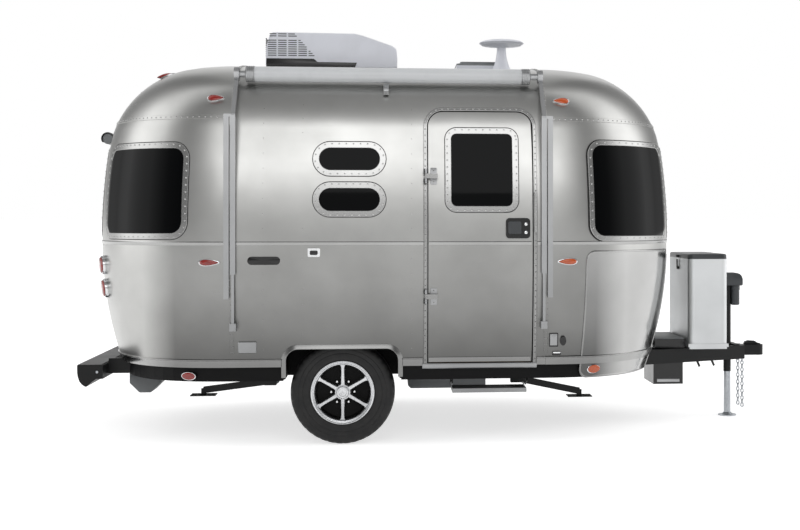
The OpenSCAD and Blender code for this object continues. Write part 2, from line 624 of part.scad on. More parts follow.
/* Gas bottles in their cover, battery box */
gas_lo = [1833, -360];
gas_hi = [2129, 360];
gas_z = [585, 1215];
gas_top = 1253;
gas_wall = 4;
tray_z = rail_z + rail_h;
module gas_outline(set)
    polygon(rounded(gas_lo[0] + set, gas_lo[1] + set, gas_hi[0] - set, gas_hi[1] - set, 45 - set));
module gas_cover() color("#c4c7c9") translate([0, 0, gas_z[0]]) difference() {
    linear_extrude(gas_z[1] - gas_z[0]) gas_outline(0);
    translate([0, 0, -1]) linear_extrude(gas_z[1] - gas_z[0] + 2) gas_outline(gas_wall);
}
module gas_cover_lid() color("#55585b") difference() {
    translate([0, 0, gas_z[1] + fit]) linear_extrude(gas_top - gas_z[1]) gas_outline(0);
    translate([0, 0, gas_z[1]]) linear_extrude(gas_top - gas_z[1] - gas_wall) gas_outline(gas_wall);
}
bottle_r = 132;
module gas_bottles() color("#d9dadb") {
    both_sides() translate([(gas_lo[0] + gas_hi[0]) / 2, -178, 0]) {
        translate([0, 0, gas_z[0]]) cylinder(r = bottle_r, h = 405);
        translate([0, 0, gas_z[0] + 404]) cylinder(r1 = bottle_r, r2 = 80, h = 60);
        translate([0, 0, gas_z[0] + 460]) cylinder(r = 80, h = 90);
    }
}
module gas_tray() color("#9b9ea0") {
    block([gas_lo[0] + 6, gas_lo[1] + 6, tray_z + fit], [gas_hi[0] - 6, gas_hi[1] - 6, gas_z[0] - fit]);
    block([gas_lo[0] - 4, gas_lo[1] - 4, gas_z[0] - 24], [gas_hi[0] + 4, gas_hi[1] + 4, gas_z[0] - fit]);
}
battery_lo = [1600, -185, 268];
battery_hi = [1826, 185, 600];
module battery_box() color("#131415") {
    block(battery_lo, battery_hi);
    block([battery_lo[0] - 8, -262, battery_hi[2]], [battery_hi[0], 262, battery_hi[2] + 12]);
    both_sides() block([battery_lo[0], -250, tray_z + fit], [battery_hi[0], -180, battery_hi[2] + 1]);
}

/* Stabilisers */
stab_y = 800;
stab_z = 400;                    // pivot height
stab_len = 455;
stab_bar = [30, 44];             // width and height of an arm
stab_pin_r = 8;
// [pivot x, direction along X, stowed slope]
front_stab = [500, 1, 12];
rear_stab = [-1195, -1, 7];
module stabiliser(s, side) color("#141516") translate([s[0], side * stab_y, stab_z])
    mirror([s[1] < 0 ? 1 : 0, 0, 0]) rotate([0, s[2], 0]) {
        rotate([90, 0, 0]) difference() {
            union() {
                translate([0, 0, -stab_bar[0] / 2]) cylinder(r = stab_bar[1] / 2 + 3, h = stab_bar[0]);
                translate([0, -stab_bar[1] / 2, 1 - stab_bar[0] / 2])
                    cube([stab_len, stab_bar[1], stab_bar[0] - 2]);
            }
            translate([0, 0, -stab_bar[0]]) cylinder(r = stab_pin_r + fit, h = 2 * stab_bar[0]);
        }
        translate([stab_len, 0, 0]) rotate([0, -s[2], 0]) {
            block([-16, -15, -30], [16, 15, 10]);
            block([-85, -60, -36], [85, 60, -30]);
        }
    }
module rear_near_stabiliser() stabiliser(rear_stab, -1);
module rear_far_stabiliser() stabiliser(rear_stab, 1);
module front_near_stabiliser() stabiliser(front_stab, -1);
module front_far_stabiliser() stabiliser(front_stab, 1);
module stabiliser_brackets() color("#191a1b") for (s = [front_stab, rear_stab]) both_sides() {
    for (e = [-1, 1]) translate([s[0], -stab_y + e * (stab_bar[0] / 2 + 5), 0])
        block([-40, min(0, e * 6), stab_z - 28], [40, max(0, e * 6), belly_z - fit]);
    translate([s[0], -stab_y, stab_z]) rotate([90, 0, 0])
        cylinder(r = stab_pin_r, h = stab_bar[0] + 14, center = true);
}

/* Entry step */
step_x = [26, 552];
step_pivot = [-1075, 420];       // [y, z] of the arms' fixed pivots
step_pin = [-960, 385];          // [y, z] of the pins at the tread
tread_y = [-1130, -930];
tread_z = [345, 373];
step_t = 8;                      // thickness of the step's plates
module step_bracket() color("#151617") for (side = [0, 1]) {
    x = side == 0 ? step_x[0] + step_t + 3 : step_x[1] - 2 * step_t - 3;
    block([x, step_pivot[0] - 20, step_pivot[1] - 16], [x + step_t, step_pivot[0] + 20, belly_z - fit]);
    translate([side == 0 ? step_x[0] - 2 : x, step_pivot[0], step_pivot[1]]) rotate([0, 90, 0])
        cylinder(r = 6, h = 2 * step_t + 5);
}
module step_arms() color("#151617") for (x = [step_x[0], step_x[1] - step_t]) difference() {
    reach = step_pin - step_pivot;
    union() {
        for (p = [step_pivot, step_pin]) translate([x, p[0], p[1]]) rotate([0, 90, 0])
            cylinder(r = 11, h = step_t);
        translate([x, step_pivot[0], step_pivot[1]]) rotate([atan2(reach[1], reach[0]), 0, 0])
            translate([0.5, 0, -8]) cube([step_t - 1, norm(reach), 16]);
    }
    translate([x - 1, step_pivot[0], step_pivot[1]]) rotate([0, 90, 0])
        cylinder(r = 6 + fit, h = step_t + 2);
    translate([x - 1, step_pin[0], step_pin[1]]) rotate([0, 90, 0])
        cylinder(r = 5 + fit, h = step_t + 2);
}
module step_tread() color("#c8cacc") {
    lo = step_x[0] + step_t + 5;
    hi = step_x[1] - step_t - 5;
    block([lo, tread_y[0], tread_z[0]], [hi, tread_y[1], tread_z[1]]);
    for (x = [lo, hi - step_t]) block([x, step_pin[0] - 12, tread_z[1] - 1],
        [x + step_t, step_pin[0] + 12, step_pin[1] + 8]);
    for (x = [step_x[0] - 2, hi - step_t]) translate([x, step_pin[0], step_pin[1]]) rotate([0, 90, 0])
        cylinder(r = 5, h = 2 * step_t + 7);
}

module tank_pans() color("#6f7275") {
    block([-250, -480, 296], [310, 480, belly_z - fit]);
    block([-1360, -520, 345], [-1160, 520, belly_z - fit]);
    block([-2200, -500, 292], [-1985, -250, belly_z - fit]);
}

/* Roof equipment */
cooler_x = -1275;
module air_conditioner() color("#dcdee0") difference() {
    intersection() {
        along_y(-cooler_w / 2, cooler_w / 2) polygon([[cooler_x, roof_z - 60],
            [cooler_x + 22, roof_z + cooler_h], [cooler_x + 0.70 * cooler_len, roof_z + cooler_h],
            [cooler_x + 0.95 * cooler_len, roof_z + cooler_h - 90],
            [cooler_x + cooler_len, roof_z + cooler_h - 110], [cooler_x + cooler_len, roof_z - 60]]);
        translate([0, 0, roof_z - 80]) linear_extrude(500)
            polygon(rounded(cooler_x, -cooler_w / 2, cooler_x + cooler_len, cooler_w / 2, 70));
    }
    body_solid(seam_rear, seam_front, -fit);
}
dish_x = 465;
module antenna() color("#e4e5e6") difference() {
    translate([dish_x, 0, roof_z - 10]) rotate_extrude() polygon(concat([[0, 0]],
        [for (i = [0:8]) [34 + 50 * pow(1 - i / 8, 2.2), 2 + i * 24]],
        [[60, 205], [150, 212], [170, 226]],
        [for (i = [1:5]) [170 * cos(i * 15), 226 + 30 * sin(i * 15)]], [[0, 256]]));
    body_solid(seam_rear, seam_front, -fit);
}
module vent_block(set, low, high) block([vent_x - vent_w / 2 + set, vent_y - vent_w / 2 + set, low],
    [vent_x + vent_w / 2 - set, vent_y + vent_w / 2 - set, high]);
module roof_vent() color("#c9cbcc") difference() {
    vent_block(-vent_flange, roof_z - 90, vent_top);
    vent_block(vent_rim, roof_z - 100, vent_top + 1);
    body_solid(seam_rear, seam_front, -fit);
}
module vent_lid() color("#b9bbbd") translate([vent_x, vent_y, vent_top + fit]) {
    half = vent_w / 2 + vent_flange;
    linear_extrude(14) polygon(rounded(-half, -half, half, half, 30));
    inner = half - 30;
    translate([0, 0, 13]) linear_extrude(18) polygon(rounded(-inner, -inner, inner, inner, 30));
}

/* Awning */
awning_x = [-1343, 576];
awning_y = -1000;
awning_z = 2487;
module awning_roller() color("#d3d5d6") translate([awning_x[0], awning_y, awning_z]) rotate([0, 90, 0])
    cylinder(r = awning_r, h = awning_x[1] - awning_x[0]);
arm_bar = 24;
module awning_arm(x, dir) {
    y = -1250;
    block([x, y - 8, 1150], [x + 34, y + 14, 2200]);
    block([x - dir * 42, y - 8, 990], [x - dir * 42 + 34, y + 14, 2200]);
    translate([x + 5, y + 3, 2190]) rotate([-41, 0, 0]) translate([0, -arm_bar / 2, -6])
        cube([26, arm_bar, 362]);
    block([x - (dir > 0 ? 42 : 0), y - 8, 2180], [x + 34 + (dir < 0 ? 42 : 0), y + 14, 2200]);
    block([x + 8, y - 4, 800], [x + 26, y + 10, 1155]);
    difference() {
        block([x - 4, y - 8, 780], [x + 38, -1100, 830]);
        wall_band(seam_rear - 300, seam_front + 300, -fit, wall + 60);
    }
}
module awning_arms() color("#a9acae") {
    awning_arm(-1418, 1);
    awning_arm(628, -1);
    for (x = [-1418, 628]) translate([x, awning_y, awning_z]) rotate([0, 90, 0]) cylinder(r = 46, h = 34);
    for (x = [[-1386, awning_x[0] - fit], [awning_x[1] + fit, 630]])
        translate([x[0], awning_y, awning_z]) rotate([0, 90, 0]) cylinder(r = 22, h = x[1] - x[0]);
}

/* Lamps, camera, chains */
// Lean of the skin at height z
function lean_of(z) = z <= belt_z ? -asin((belt_z - z) / foot_r)
    : z <= lean_z(wall_lean) ? asin((z - belt_z) / wall_r) : asin((z - shoulder_z) / shoulder_r);
lamp_len = 142;
lamp_high = 62;
lamp_out = 24;
lamp_at = 141;                   // middle of the marker lamps, past each seam
lamp_turn = 4.6;                 // how far the skin has turned there, in plan
lamp_heights = [1228, 2321];
module marker_lamp(z) translate([lamp_at, -end_side(lamp_at, z) - 2 * fit, z])
    rotate(lamp_turn) rotate([90 - lean_of(z), 0, 0]) linear_extrude(lamp_out)
    polygon([for (a = [0:15:345])
        [lamp_len / 2 * cos(a), lamp_high / 2 * sin(a) * (0.75 + 0.25 * cos(a))]]);
tail_y = 620;
tail_heights = [1035, 1195];
tail_r = 66;
tail_turn = 20;                  // how far the end shell's skin has turned there, in plan
module lamps() color("#c8341c") both_sides() {
    for (z = lamp_heights) {
        from_rear() marker_lamp(z);
        from_front() marker_lamp(z);
    }
    from_rear() difference() {
        for (z = tail_heights) translate([end_front(tail_y, z) - 6, -tail_y, z])
            rotate([0, 90, -tail_turn]) cylinder(r = tail_r, h = 38);
        end_skin(-36, -12, foot_levels[2], belt_z, -fit, 90, 4, 3);
    }
}
camera_z = [2062, 2142];
module rear_camera() color("#17181a") from_rear() difference() {
    translate([end_half(camera_z[1]) - 20, -34, camera_z[0]])
        cube([70, 68, camera_z[1] - camera_z[0]]);
    end_skin(-6, 6, camera_z[0] - 40, camera_z[1] + 40, -fit, 90);
}
link_pitch = 27;
chain_y = 62;
chain_x = 2316;
module stadium(w, h) {
    for (e = [-1, 1]) translate([0, e * (h - w) / 2]) circle(r = w / 2);
    square([w, h - w], center = true);
}
module chain_link(turn) rotate(turn) rotate([90, 0, 0]) linear_extrude(8, center = true) difference() {
    stadium(26, 36);
    stadium(11, 21);
}
module safety_chains() color("#b3b6b8") both_sides() translate([chain_x, -chain_y, 0]) {
    for (i = [0:12]) translate([0, 0, 86 + i * link_pitch]) chain_link(i % 2 == 0 ? 0 : 90);
    block([-5, -12, 416], [5, 12, rail_z - fit]);
}

near_wall();
far_wall();
roof_panel();
rear_shell();
front_shell();
floor();
underbelly();
wheel_wells();
side_windows();
rear_windows();
front_windows();
stone_guards();
wheel_arch_trims();
door_frame();
door();
door_window();
door_latch();
door_hinges();
grab_handle();
frame_rails();
drawbar();
coupler();
jack_tube();
jack_leg();
axle();
axle_arms();
near_tyre();
near_rim();
far_tyre();
far_rim();
rear_bumper();
bumper_lid();
gas_cover();
gas_cover_lid();
gas_bottles();
gas_tray();
battery_box();
stabiliser_brackets();
rear_near_stabiliser();
rear_far_stabiliser();
front_near_stabiliser();
front_far_stabiliser();
step_bracket();
step_arms();
step_tread();
tank_pans();
air_conditioner();
antenna();
roof_vent();
vent_lid();
awning_roller();
awning_arms();
lamps();
rear_camera();
safety_chains();
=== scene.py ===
# %% [markdown]
# # A riveted travel caravan
# This lesson dresses a travel caravan whose structure already exists as a imported frame: every
# wall, wheel, joint and bracket has its true size and place there. Here each visible surface gets
# its real form and finish. The frame loads first.
# %% Load the frame
import json
import math

import bmesh
import bpy
import numpy as np
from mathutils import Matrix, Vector


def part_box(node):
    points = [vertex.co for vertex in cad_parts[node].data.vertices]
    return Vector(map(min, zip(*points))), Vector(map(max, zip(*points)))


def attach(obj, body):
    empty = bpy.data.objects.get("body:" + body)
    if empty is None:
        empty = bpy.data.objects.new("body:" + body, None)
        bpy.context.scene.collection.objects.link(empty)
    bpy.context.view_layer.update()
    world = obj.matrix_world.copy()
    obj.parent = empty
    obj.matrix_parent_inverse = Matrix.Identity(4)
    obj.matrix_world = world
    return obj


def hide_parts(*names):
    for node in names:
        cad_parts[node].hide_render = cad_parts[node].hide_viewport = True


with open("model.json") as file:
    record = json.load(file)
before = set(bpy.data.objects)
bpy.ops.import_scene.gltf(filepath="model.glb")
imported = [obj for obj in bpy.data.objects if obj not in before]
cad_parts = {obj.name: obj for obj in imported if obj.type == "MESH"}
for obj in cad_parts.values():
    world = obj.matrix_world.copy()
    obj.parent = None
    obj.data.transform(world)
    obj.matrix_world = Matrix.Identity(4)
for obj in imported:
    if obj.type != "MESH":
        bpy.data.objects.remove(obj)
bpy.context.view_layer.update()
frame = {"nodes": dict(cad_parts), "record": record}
nodes = frame["nodes"]

# %% [markdown]
# A studio camera stands a little above the door's belt line and looks level, turned slightly
# forward along the body. A level camera keeps the upright edges parallel, so the view is framed by
# shifting the lens, as an architect's camera does, and not by tilting it.
# %% Camera
CAMERA_PLACE = (-0.3928, -10.0703, 1.5133)
CAMERA_TURN = math.radians(-5.67)
LENS = 59.85
LENS_SHIFT = (-0.15, -0.0575)

camera_data = bpy.data.cameras.new("studio_camera")
camera_data.lens = LENS
camera_data.shift_x, camera_data.shift_y = LENS_SHIFT
camera_data.clip_end = 4000
camera = bpy.data.objects.new("studio_camera", camera_data)
camera.location = CAMERA_PLACE
camera.rotation_euler = (math.pi / 2, 0, CAMERA_TURN)
bpy.context.scene.collection.objects.link(camera)
bpy.context.scene.camera = camera
bpy.context.scene.view_settings.view_transform = "Standard"
print("camera:", camera.name, "lens", LENS)


# %% [markdown]
# Colours are written as sRGB hex, as a paint card gives them, and the shader wants linear light,
# so one function converts them. One small function adds a node: its settings are named, and each
# input is either a value or the socket that it is linked from.
# %% Colour and node helpers
def linear(hex_colour):
    """Linear RGBA of an sRGB colour such as '#C8CACC'."""
    parts = [int(hex_colour[i : i + 2], 16) / 255 for i in (1, 3, 5)]
    light = [c / 12.92 if c <= 0.04045 else ((c + 0.055) / 1.055) ** 2.4 for c in parts]
    return (*light, 1.0)


def add_node(tree, kind, inputs=None, **settings):
    """A node with its settings; each input is a value or a socket to link from."""
    node = tree.nodes.new(kind)
    for key, value in settings.items():
        setattr(node, key, value)
    for key, value in (inputs or {}).items():
        if isinstance(value, bpy.types.NodeSocket):
            tree.links.new(value, node.inputs[key])
        else:
            node.inputs[key].default_value = value
    return node


def new_material(name, colour, metallic, roughness):
    """A material with its tree, its shader, and object coordinates in metres."""
    material = bpy.data.materials.new(name)
    material.use_nodes = True
    tree = material.node_tree
    shader = tree.nodes["Principled BSDF"]
    shader.inputs["Base Color"].default_value = linear(colour)
    shader.inputs["Metallic"].default_value = metallic
    shader.inputs["Roughness"].default_value = roughness
    material.diffuse_color = linear(colour)
    return material, tree, shader, add_node(tree, "ShaderNodeTexCoord").outputs["Object"]


def per_metre(millimetres):
    """Texture scale whose features are this many millimetres apart."""
    return 1000.0 / millimetres


COLOUR_A, COLOUR_B, COLOUR_OUT = 6, 7, 2  # the colour sockets of a Mix node, which share their names

# %% [markdown]
# The body is clad aluminium sheet, rolled at the mill and polished. Rolling leaves fine lines along
# the sheet, handling leaves faint hazy patches, and riveting thin sheet to ribs makes it ripple a
# millimetre or so over a hand's width, which bends its reflections. The lower part has painted shade:
# its colour is darker towards the foot, for the darker reflections low on the sides, and much less so
# on the end caps.
# A metal keeps the default IOR, and its roughness says how soft the reflections are.
# %% Polished and drawn aluminium
BODY_MIDDLE_X = -0.39
END_FADE = (1.40, 1.62)  # metres from the body's middle, between which the painted shade thins out
PAINTED_SHADE_HEIGHTS = (0.55, 1.9)  # the painted shade is full at the first height and gone at the second
PAINTED_SHADE_ON_ENDS = 0.95  # what the painted shade leaves of the colour on the end caps


def sheet_metal(name, colour, dull_colour, roughness, ripple_mm, painted_foot_shade):
    """Sheet or extrusion with hazy patches, rolling lines, ripples and painted shade low down."""
    material, tree, shader, place = new_material(name, colour, 1.0, roughness)
    parts = add_node(tree, "ShaderNodeSeparateXYZ", {0: place})
    aside = add_node(tree, "ShaderNodeMath", {0: parts.outputs["X"], 1: BODY_MIDDLE_X},
                     operation="SUBTRACT")
    from_middle = add_node(tree, "ShaderNodeMath", {0: aside.outputs[0]}, operation="ABSOLUTE")
    low_end = add_node(tree, "ShaderNodeMapRange", {
        "Value": from_middle.outputs[0], "From Min": END_FADE[0], "From Max": END_FADE[1],
        "To Min": painted_foot_shade, "To Max": PAINTED_SHADE_ON_ENDS})
    haze = add_node(tree, "ShaderNodeTexNoise", {"Vector": place, "Scale": per_metre(420), "Detail": 4.0})
    patches = add_node(tree, "ShaderNodeMapRange", {"Value": haze.outputs["Fac"], "From Min": 0.35,
                                                    "From Max": 0.75})
    hazy = add_node(tree, "ShaderNodeMix", {0: patches.outputs[0], COLOUR_A: linear(colour),
                                            COLOUR_B: linear(dull_colour)}, data_type="RGBA")
    # painted shade: the colour darkens towards the foot, for the darker reflections low on the sides, and
    # much less on the end caps
    painted_shade = add_node(tree, "ShaderNodeMapRange", {
        "Value": parts.outputs["Z"], "From Min": PAINTED_SHADE_HEIGHTS[0], "From Max": PAINTED_SHADE_HEIGHTS[1],
        "To Min": low_end.outputs[0], "To Max": 1.0})
    tint = add_node(tree, "ShaderNodeMix", {0: 1.0, COLOUR_A: hazy.outputs[COLOUR_OUT],
                                            COLOUR_B: painted_shade.outputs[0]},
                    data_type="RGBA", blend_type="MULTIPLY")
    tree.links.new(tint.outputs[COLOUR_OUT], shader.inputs["Base Color"])
    rolled = add_node(tree, "ShaderNodeVectorMath", {0: place, 1: (0.04, 0.04, 9.0)}, operation="MULTIPLY")
    lines = add_node(tree, "ShaderNodeTexNoise", {"Vector": rolled.outputs[0], "Scale": per_metre(60)})
    patch = add_node(tree, "ShaderNodeMapRange", {"Value": haze.outputs["Fac"], "To Min": roughness - 0.05,
                                                  "To Max": roughness + 0.06})
    rough = add_node(tree, "ShaderNodeMath", {0: lines.outputs["Fac"], 1: 0.06, 2: patch.outputs[0]},
                     operation="MULTIPLY_ADD")
    tree.links.new(rough.outputs[0], shader.inputs["Roughness"])
    swell = add_node(tree, "ShaderNodeTexNoise", {"Vector": place, "Scale": per_metre(400), "Detail": 1.5})
    ripple = add_node(tree, "ShaderNodeBump", {"Height": swell.outputs["Fac"], "Distance": ripple_mm / 1000})
    grain = add_node(tree, "ShaderNodeBump", {"Height": lines.outputs["Fac"], "Distance": 0.00002,
                                              "Strength": 0.5, "Normal": ripple.outputs[0]})
    tree.links.new(grain.outputs[0], shader.inputs["Normal"])
    return material


# the last number is the share of its colour that each finish keeps at the foot under the painted shade
polished_sheet = sheet_metal("Clad aluminium sheet, polished", "#BFBFBD", "#B0B0AE", 0.27, 6.0, 0.24)
bright_extrusion = sheet_metal("Aluminium extrusion, bright drawn", "#B4B4B3", "#A6A6A5", 0.20, 0.3, 0.5)
satin_extrusion = sheet_metal("Aluminium extrusion, satin anodised", "#B1B2B3", "#A1A2A3", 0.38, 0.2, 0.7)
polished_guard = sheet_metal("Stainless steel sheet, mirror polished", "#C2C2C1", "#B4B4B3", 0.12, 1.2, 0.20)
brushed_cover = sheet_metal("Aluminium sheet, brushed", "#D6D8D9", "#C9CBCC", 0.40, 0.3, 0.95)
print("body skin:", polished_sheet.name)

# %% [markdown]
# Steel parts are powder coated or zinc plated. Powder coat melts into a skin with a fine orange
# peel, a few millimetres across, and dust settles on it in patches. Plated steel shows faint
# crystals, called spangle, about 8 mm across, and it is duller than polished aluminium.
# %% Coated and plated steel, and moulded plastics
def coated(name, colour, dust_colour, roughness, peel_mm, peel_depth_mm, coat=0.0, shine=0.5):
    """Powder coat, enamel or a moulded plastic: a smooth skin with a fine texture and a little dust."""
    material, tree, shader, place = new_material(name, colour, 0.0, roughness)
    dust = add_node(tree, "ShaderNodeTexNoise", {"Vector": place, "Scale": per_metre(160), "Detail": 5.0})
    amount = add_node(tree, "ShaderNodeMapRange", {"Value": dust.outputs["Fac"], "From Min": 0.45,
                                                   "From Max": 0.8, "To Max": 0.5})
    dusty = add_node(tree, "ShaderNodeMix", {0: amount.outputs[0], COLOUR_A: linear(colour),
                                             COLOUR_B: linear(dust_colour)}, data_type="RGBA")
    tree.links.new(dusty.outputs[COLOUR_OUT], shader.inputs["Base Color"])
    rough = add_node(tree, "ShaderNodeMapRange", {"Value": dust.outputs["Fac"], "To Min": roughness - 0.06,
                                                  "To Max": roughness + 0.1})
    tree.links.new(rough.outputs[0], shader.inputs["Roughness"])
    peel = add_node(tree, "ShaderNodeTexNoise", {"Vector": place, "Scale": per_metre(peel_mm)})
    skin = add_node(tree, "ShaderNodeBump", {"Height": peel.outputs["Fac"], "Distance": peel_depth_mm / 1000})
    tree.links.new(skin.outputs[0], shader.inputs["Normal"])
    shader.inputs["Coat Weight"].default_value = coat
    shader.inputs["Specular IOR Level"].default_value = shine
    return material


black_powder_coat = coated("Steel, black powder coat", "#0C0D0E", "#1D1D1C", 0.42, 5, 0.15, shine=0.28)
black_belly_sheet = coated("Belly sheet, black polypropylene", "#070708", "#131312", 0.5, 12, 0.3, shine=0.15)
black_moulding = coated("ABS moulding, gloss black", "#0C0C0D", "#1A1A1A", 0.2, 6, 0.05)
rubber_seal = coated("EPDM rubber seal, black", "#0E0E0F", "#1E1E1E", 0.6, 4, 0.1)
pale_moulding = coated("ASA moulding, pale grey", "#E4E6EE", "#D2D4DA", 0.38, 4, 0.06)
grey_moulding = coated("ABS sheet, grey", "#7E8183", "#6B6D6E", 0.45, 5, 0.1)
charcoal_moulding = coated("ABS moulding, charcoal", "#3A3D40", "#4A4C4E", 0.35, 5, 0.08)
awning_case = coated("Awning case, pale enamel", "#D4D6D8", "#BDBFC0", 0.3, 6, 0.04, coat=0.2)
white_enamel = coated("Gas bottle, white enamel", "#DCDDDD", "#C4C4C2", 0.3, 6, 0.06, coat=0.3)
floor_board = coated("Floor board, birch ply", "#B39468", "#9A7D55", 0.6, 3, 0.1)


def plated(name, colour, spangle_colour, roughness):
    """Plated steel or machined alloy, with the crystals of its surface."""
    material, tree, shader, place = new_material(name, colour, 1.0, roughness)
    crystals = add_node(tree, "ShaderNodeTexVoronoi", {"Vector": place, "Scale": per_metre(8)})
    spangle = add_node(tree, "ShaderNodeMix", {0: crystals.outputs["Distance"], COLOUR_A: linear(colour),
                                               COLOUR_B: linear(spangle_colour)}, data_type="RGBA")
    tree.links.new(spangle.outputs[COLOUR_OUT], shader.inputs["Base Color"])
    rough = add_node(tree, "ShaderNodeMapRange", {"Value": crystals.outputs["Distance"],
                                                  "To Min": roughness - 0.05, "To Max": roughness + 0.15})
    tree.links.new(rough.outputs[0], shader.inputs["Roughness"])
    return material


zinc_plate = plated("Steel, bright zinc plate", "#C3C6CA", "#9DA1A6", 0.32)
chrome_plate = plated("Chrome plate", "#DDDEDF", "#D2D3D4", 0.1)
# black paint, and painted shade for the dark inside of the wheel behind its spokes
pocket_paint_and_shade = coated("Wheel paint, satin black", "#050505", "#0A0A0A", 0.55, 6, 0.05, shine=0.15)
machined_alloy = plated("Cast alloy, machined and lacquered", "#D2D3D5", "#BFC0C2", 0.24)
print("materials so far:", len(bpy.data.materials))

# %% [markdown]
# The windows are bronze-black safety glass: from outside they read as black mirrors. The lamp
# lenses are moulded acrylic with small prisms inside, 6 mm apart, that break the light up.
# %% Glass and lenses
def tinted_glass(name, colour):
    """Rolled glass: it waves a little over half a metre, and rain leaves faint smears."""
    material, tree, shader, place = new_material(name, colour, 0.0, 0.04)
    shader.inputs["IOR"].default_value = 1.52
    shader.inputs["Specular IOR Level"].default_value = 0.08  # an anti-glare film on the panes
    wave = add_node(tree, "ShaderNodeTexNoise", {"Vector": place, "Scale": per_metre(500), "Detail": 0.5})
    rolled = add_node(tree, "ShaderNodeBump", {"Height": wave.outputs["Fac"], "Distance": 0.0006})
    tree.links.new(rolled.outputs[0], shader.inputs["Normal"])
    smear = add_node(tree, "ShaderNodeTexNoise", {"Vector": place, "Scale": per_metre(300), "Detail": 5.0})
    rough = add_node(tree, "ShaderNodeMapRange", {"Value": smear.outputs["Fac"], "To Min": 0.02,
                                                  "To Max": 0.09})
    tree.links.new(rough.outputs[0], shader.inputs["Roughness"])
    return material


def lens_plastic(name, colour, deep_colour):
    """A lamp lens with a grid of prisms inside."""
    material, tree, shader, place = new_material(name, colour, 0.0, 0.12)
    shader.inputs["IOR"].default_value = 1.49
    shader.inputs["Coat Weight"].default_value = 0.6
    prisms = add_node(tree, "ShaderNodeTexVoronoi", {"Vector": place, "Scale": per_metre(6),
                                                     "Randomness": 0.0})
    deep = add_node(tree, "ShaderNodeMix", {0: prisms.outputs["Distance"], COLOUR_A: linear(colour),
                                            COLOUR_B: linear(deep_colour)}, data_type="RGBA")
    tree.links.new(deep.outputs[COLOUR_OUT], shader.inputs["Base Color"])
    facets = add_node(tree, "ShaderNodeBump", {"Height": prisms.outputs["Distance"], "Distance": 0.001,
                                               "Strength": 0.6})
    tree.links.new(facets.outputs[0], shader.inputs["Normal"])
    return material


dark_glass = tinted_glass("Safety glass, bronze black", "#050607")
red_lens = lens_plastic("Acrylic lens, red", "#B4200F", "#5E0A08")
amber_lens = lens_plastic("Acrylic lens, amber", "#E2631A", "#A53808")
print("glass and lenses:", dark_glass.name, "/", red_lens.name, "/", amber_lens.name)

# %% [markdown]
# Tyre rubber is carbon-black filled: matt, slightly grey where it is dusty, with fine moulding
# texture. It gets its own material, with dust in small patches.
# %% Tyre rubber
def tyre_rubber(name):
    """Black rubber with a fine grain and dust in patches."""
    material, tree, shader, place = new_material(name, "#161617", 0.0, 0.50)
    shader.inputs["Specular IOR Level"].default_value = 0.35
    dust = add_node(tree, "ShaderNodeTexNoise", {"Vector": place, "Scale": per_metre(70), "Detail": 6.0})
    worn = add_node(tree, "ShaderNodeMapRange", {"Value": dust.outputs["Fac"], "From Min": 0.4,
                                                 "From Max": 0.75, "To Max": 0.6})
    tint = add_node(tree, "ShaderNodeMix", {0: worn.outputs[0], COLOUR_A: linear("#141415"),
                                            COLOUR_B: linear("#2B2A29")}, data_type="RGBA")
    tree.links.new(tint.outputs[COLOUR_OUT], shader.inputs["Base Color"])
    grain = add_node(tree, "ShaderNodeTexNoise", {"Vector": place, "Scale": per_metre(2.5)})
    skin = add_node(tree, "ShaderNodeBump", {"Height": grain.outputs["Fac"], "Distance": 0.0002})
    tree.links.new(skin.outputs[0], shader.inputs["Normal"])
    return material


tread_rubber = tyre_rubber("Tyre rubber, carbon black")

# %% [markdown]
# Every CAD node starts with the finish of its own material slot. Nodes whose shape is already right
# keep it, and the rest are replaced below by pieces that carry the same finish.
# %% A finish for every CAD node
SLOT_FINISH = {
    "skin": polished_sheet, "trim": bright_extrusion, "glass": dark_glass, "floor": floor_board,
    "black_skirt": black_belly_sheet, "black_steel": black_powder_coat, "zinc": zinc_plate,
    "latch": black_moulding, "tyre": tread_rubber, "rim": machined_alloy,
    "white_plastic": pale_moulding, "grey_plastic": grey_moulding, "gas_cover": brushed_cover,
    "lid_dark": charcoal_moulding, "gas_bottle": white_enamel, "awning": awning_case,
    "awning_arm": satin_extrusion, "lamp": red_lens, "camera": black_moulding, "step": satin_extrusion,
}
for part in frame["record"]["subparts"]:
    mesh = nodes[part["node"]].data
    mesh.materials.clear()
    mesh.materials.append(SLOT_FINISH[part["material_slot"]])

# %% [markdown]
# The body's skin follows a few arcs: one below the belt, then wall, shoulder and crown, which meet
# in tangents, and the end shells close it with squarish ellipses in plan. The same formulas as the
# frame's are written here, so that every rivet and moulding lies on the true skin, and not on a
# coarse copy of it. Seams and the lower edge are read from the frame.
# %% The body's curves
BELT = 1.352  # height of the widest line
HALF_WIDTH = 1.220
FOOT_HALF_WIDTH = 1.150
WALL_RADIUS = 3.700
SHOULDER_RADIUS = 0.570
END_LENGTH = 1.020
END_FOOT_LENGTH = 0.890
END_SHOULDER = 2.000  # height where the end shells start to round over
SQUARENESS = 2.4
WALL_T = 0.050
WALL_LEAN, SPLIT_LEAN, CROWN_LEAN = (math.radians(a) for a in (12, 46, 79))
END_LEAN, END_CROWN_LEAN = (math.radians(a) for a in (8, 78))
wall_low, wall_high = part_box("near_wall")
SEAM_REAR, SEAM_FRONT, FOOT = wall_low.x, wall_high.x, wall_low.z


def foot_radius(reach, foot_reach):
    """Radius of an arc that is upright at the belt and reaches foot_reach at the lower edge."""
    return ((BELT - FOOT) ** 2 + (reach - foot_reach) ** 2) / (2 * (reach - foot_reach))


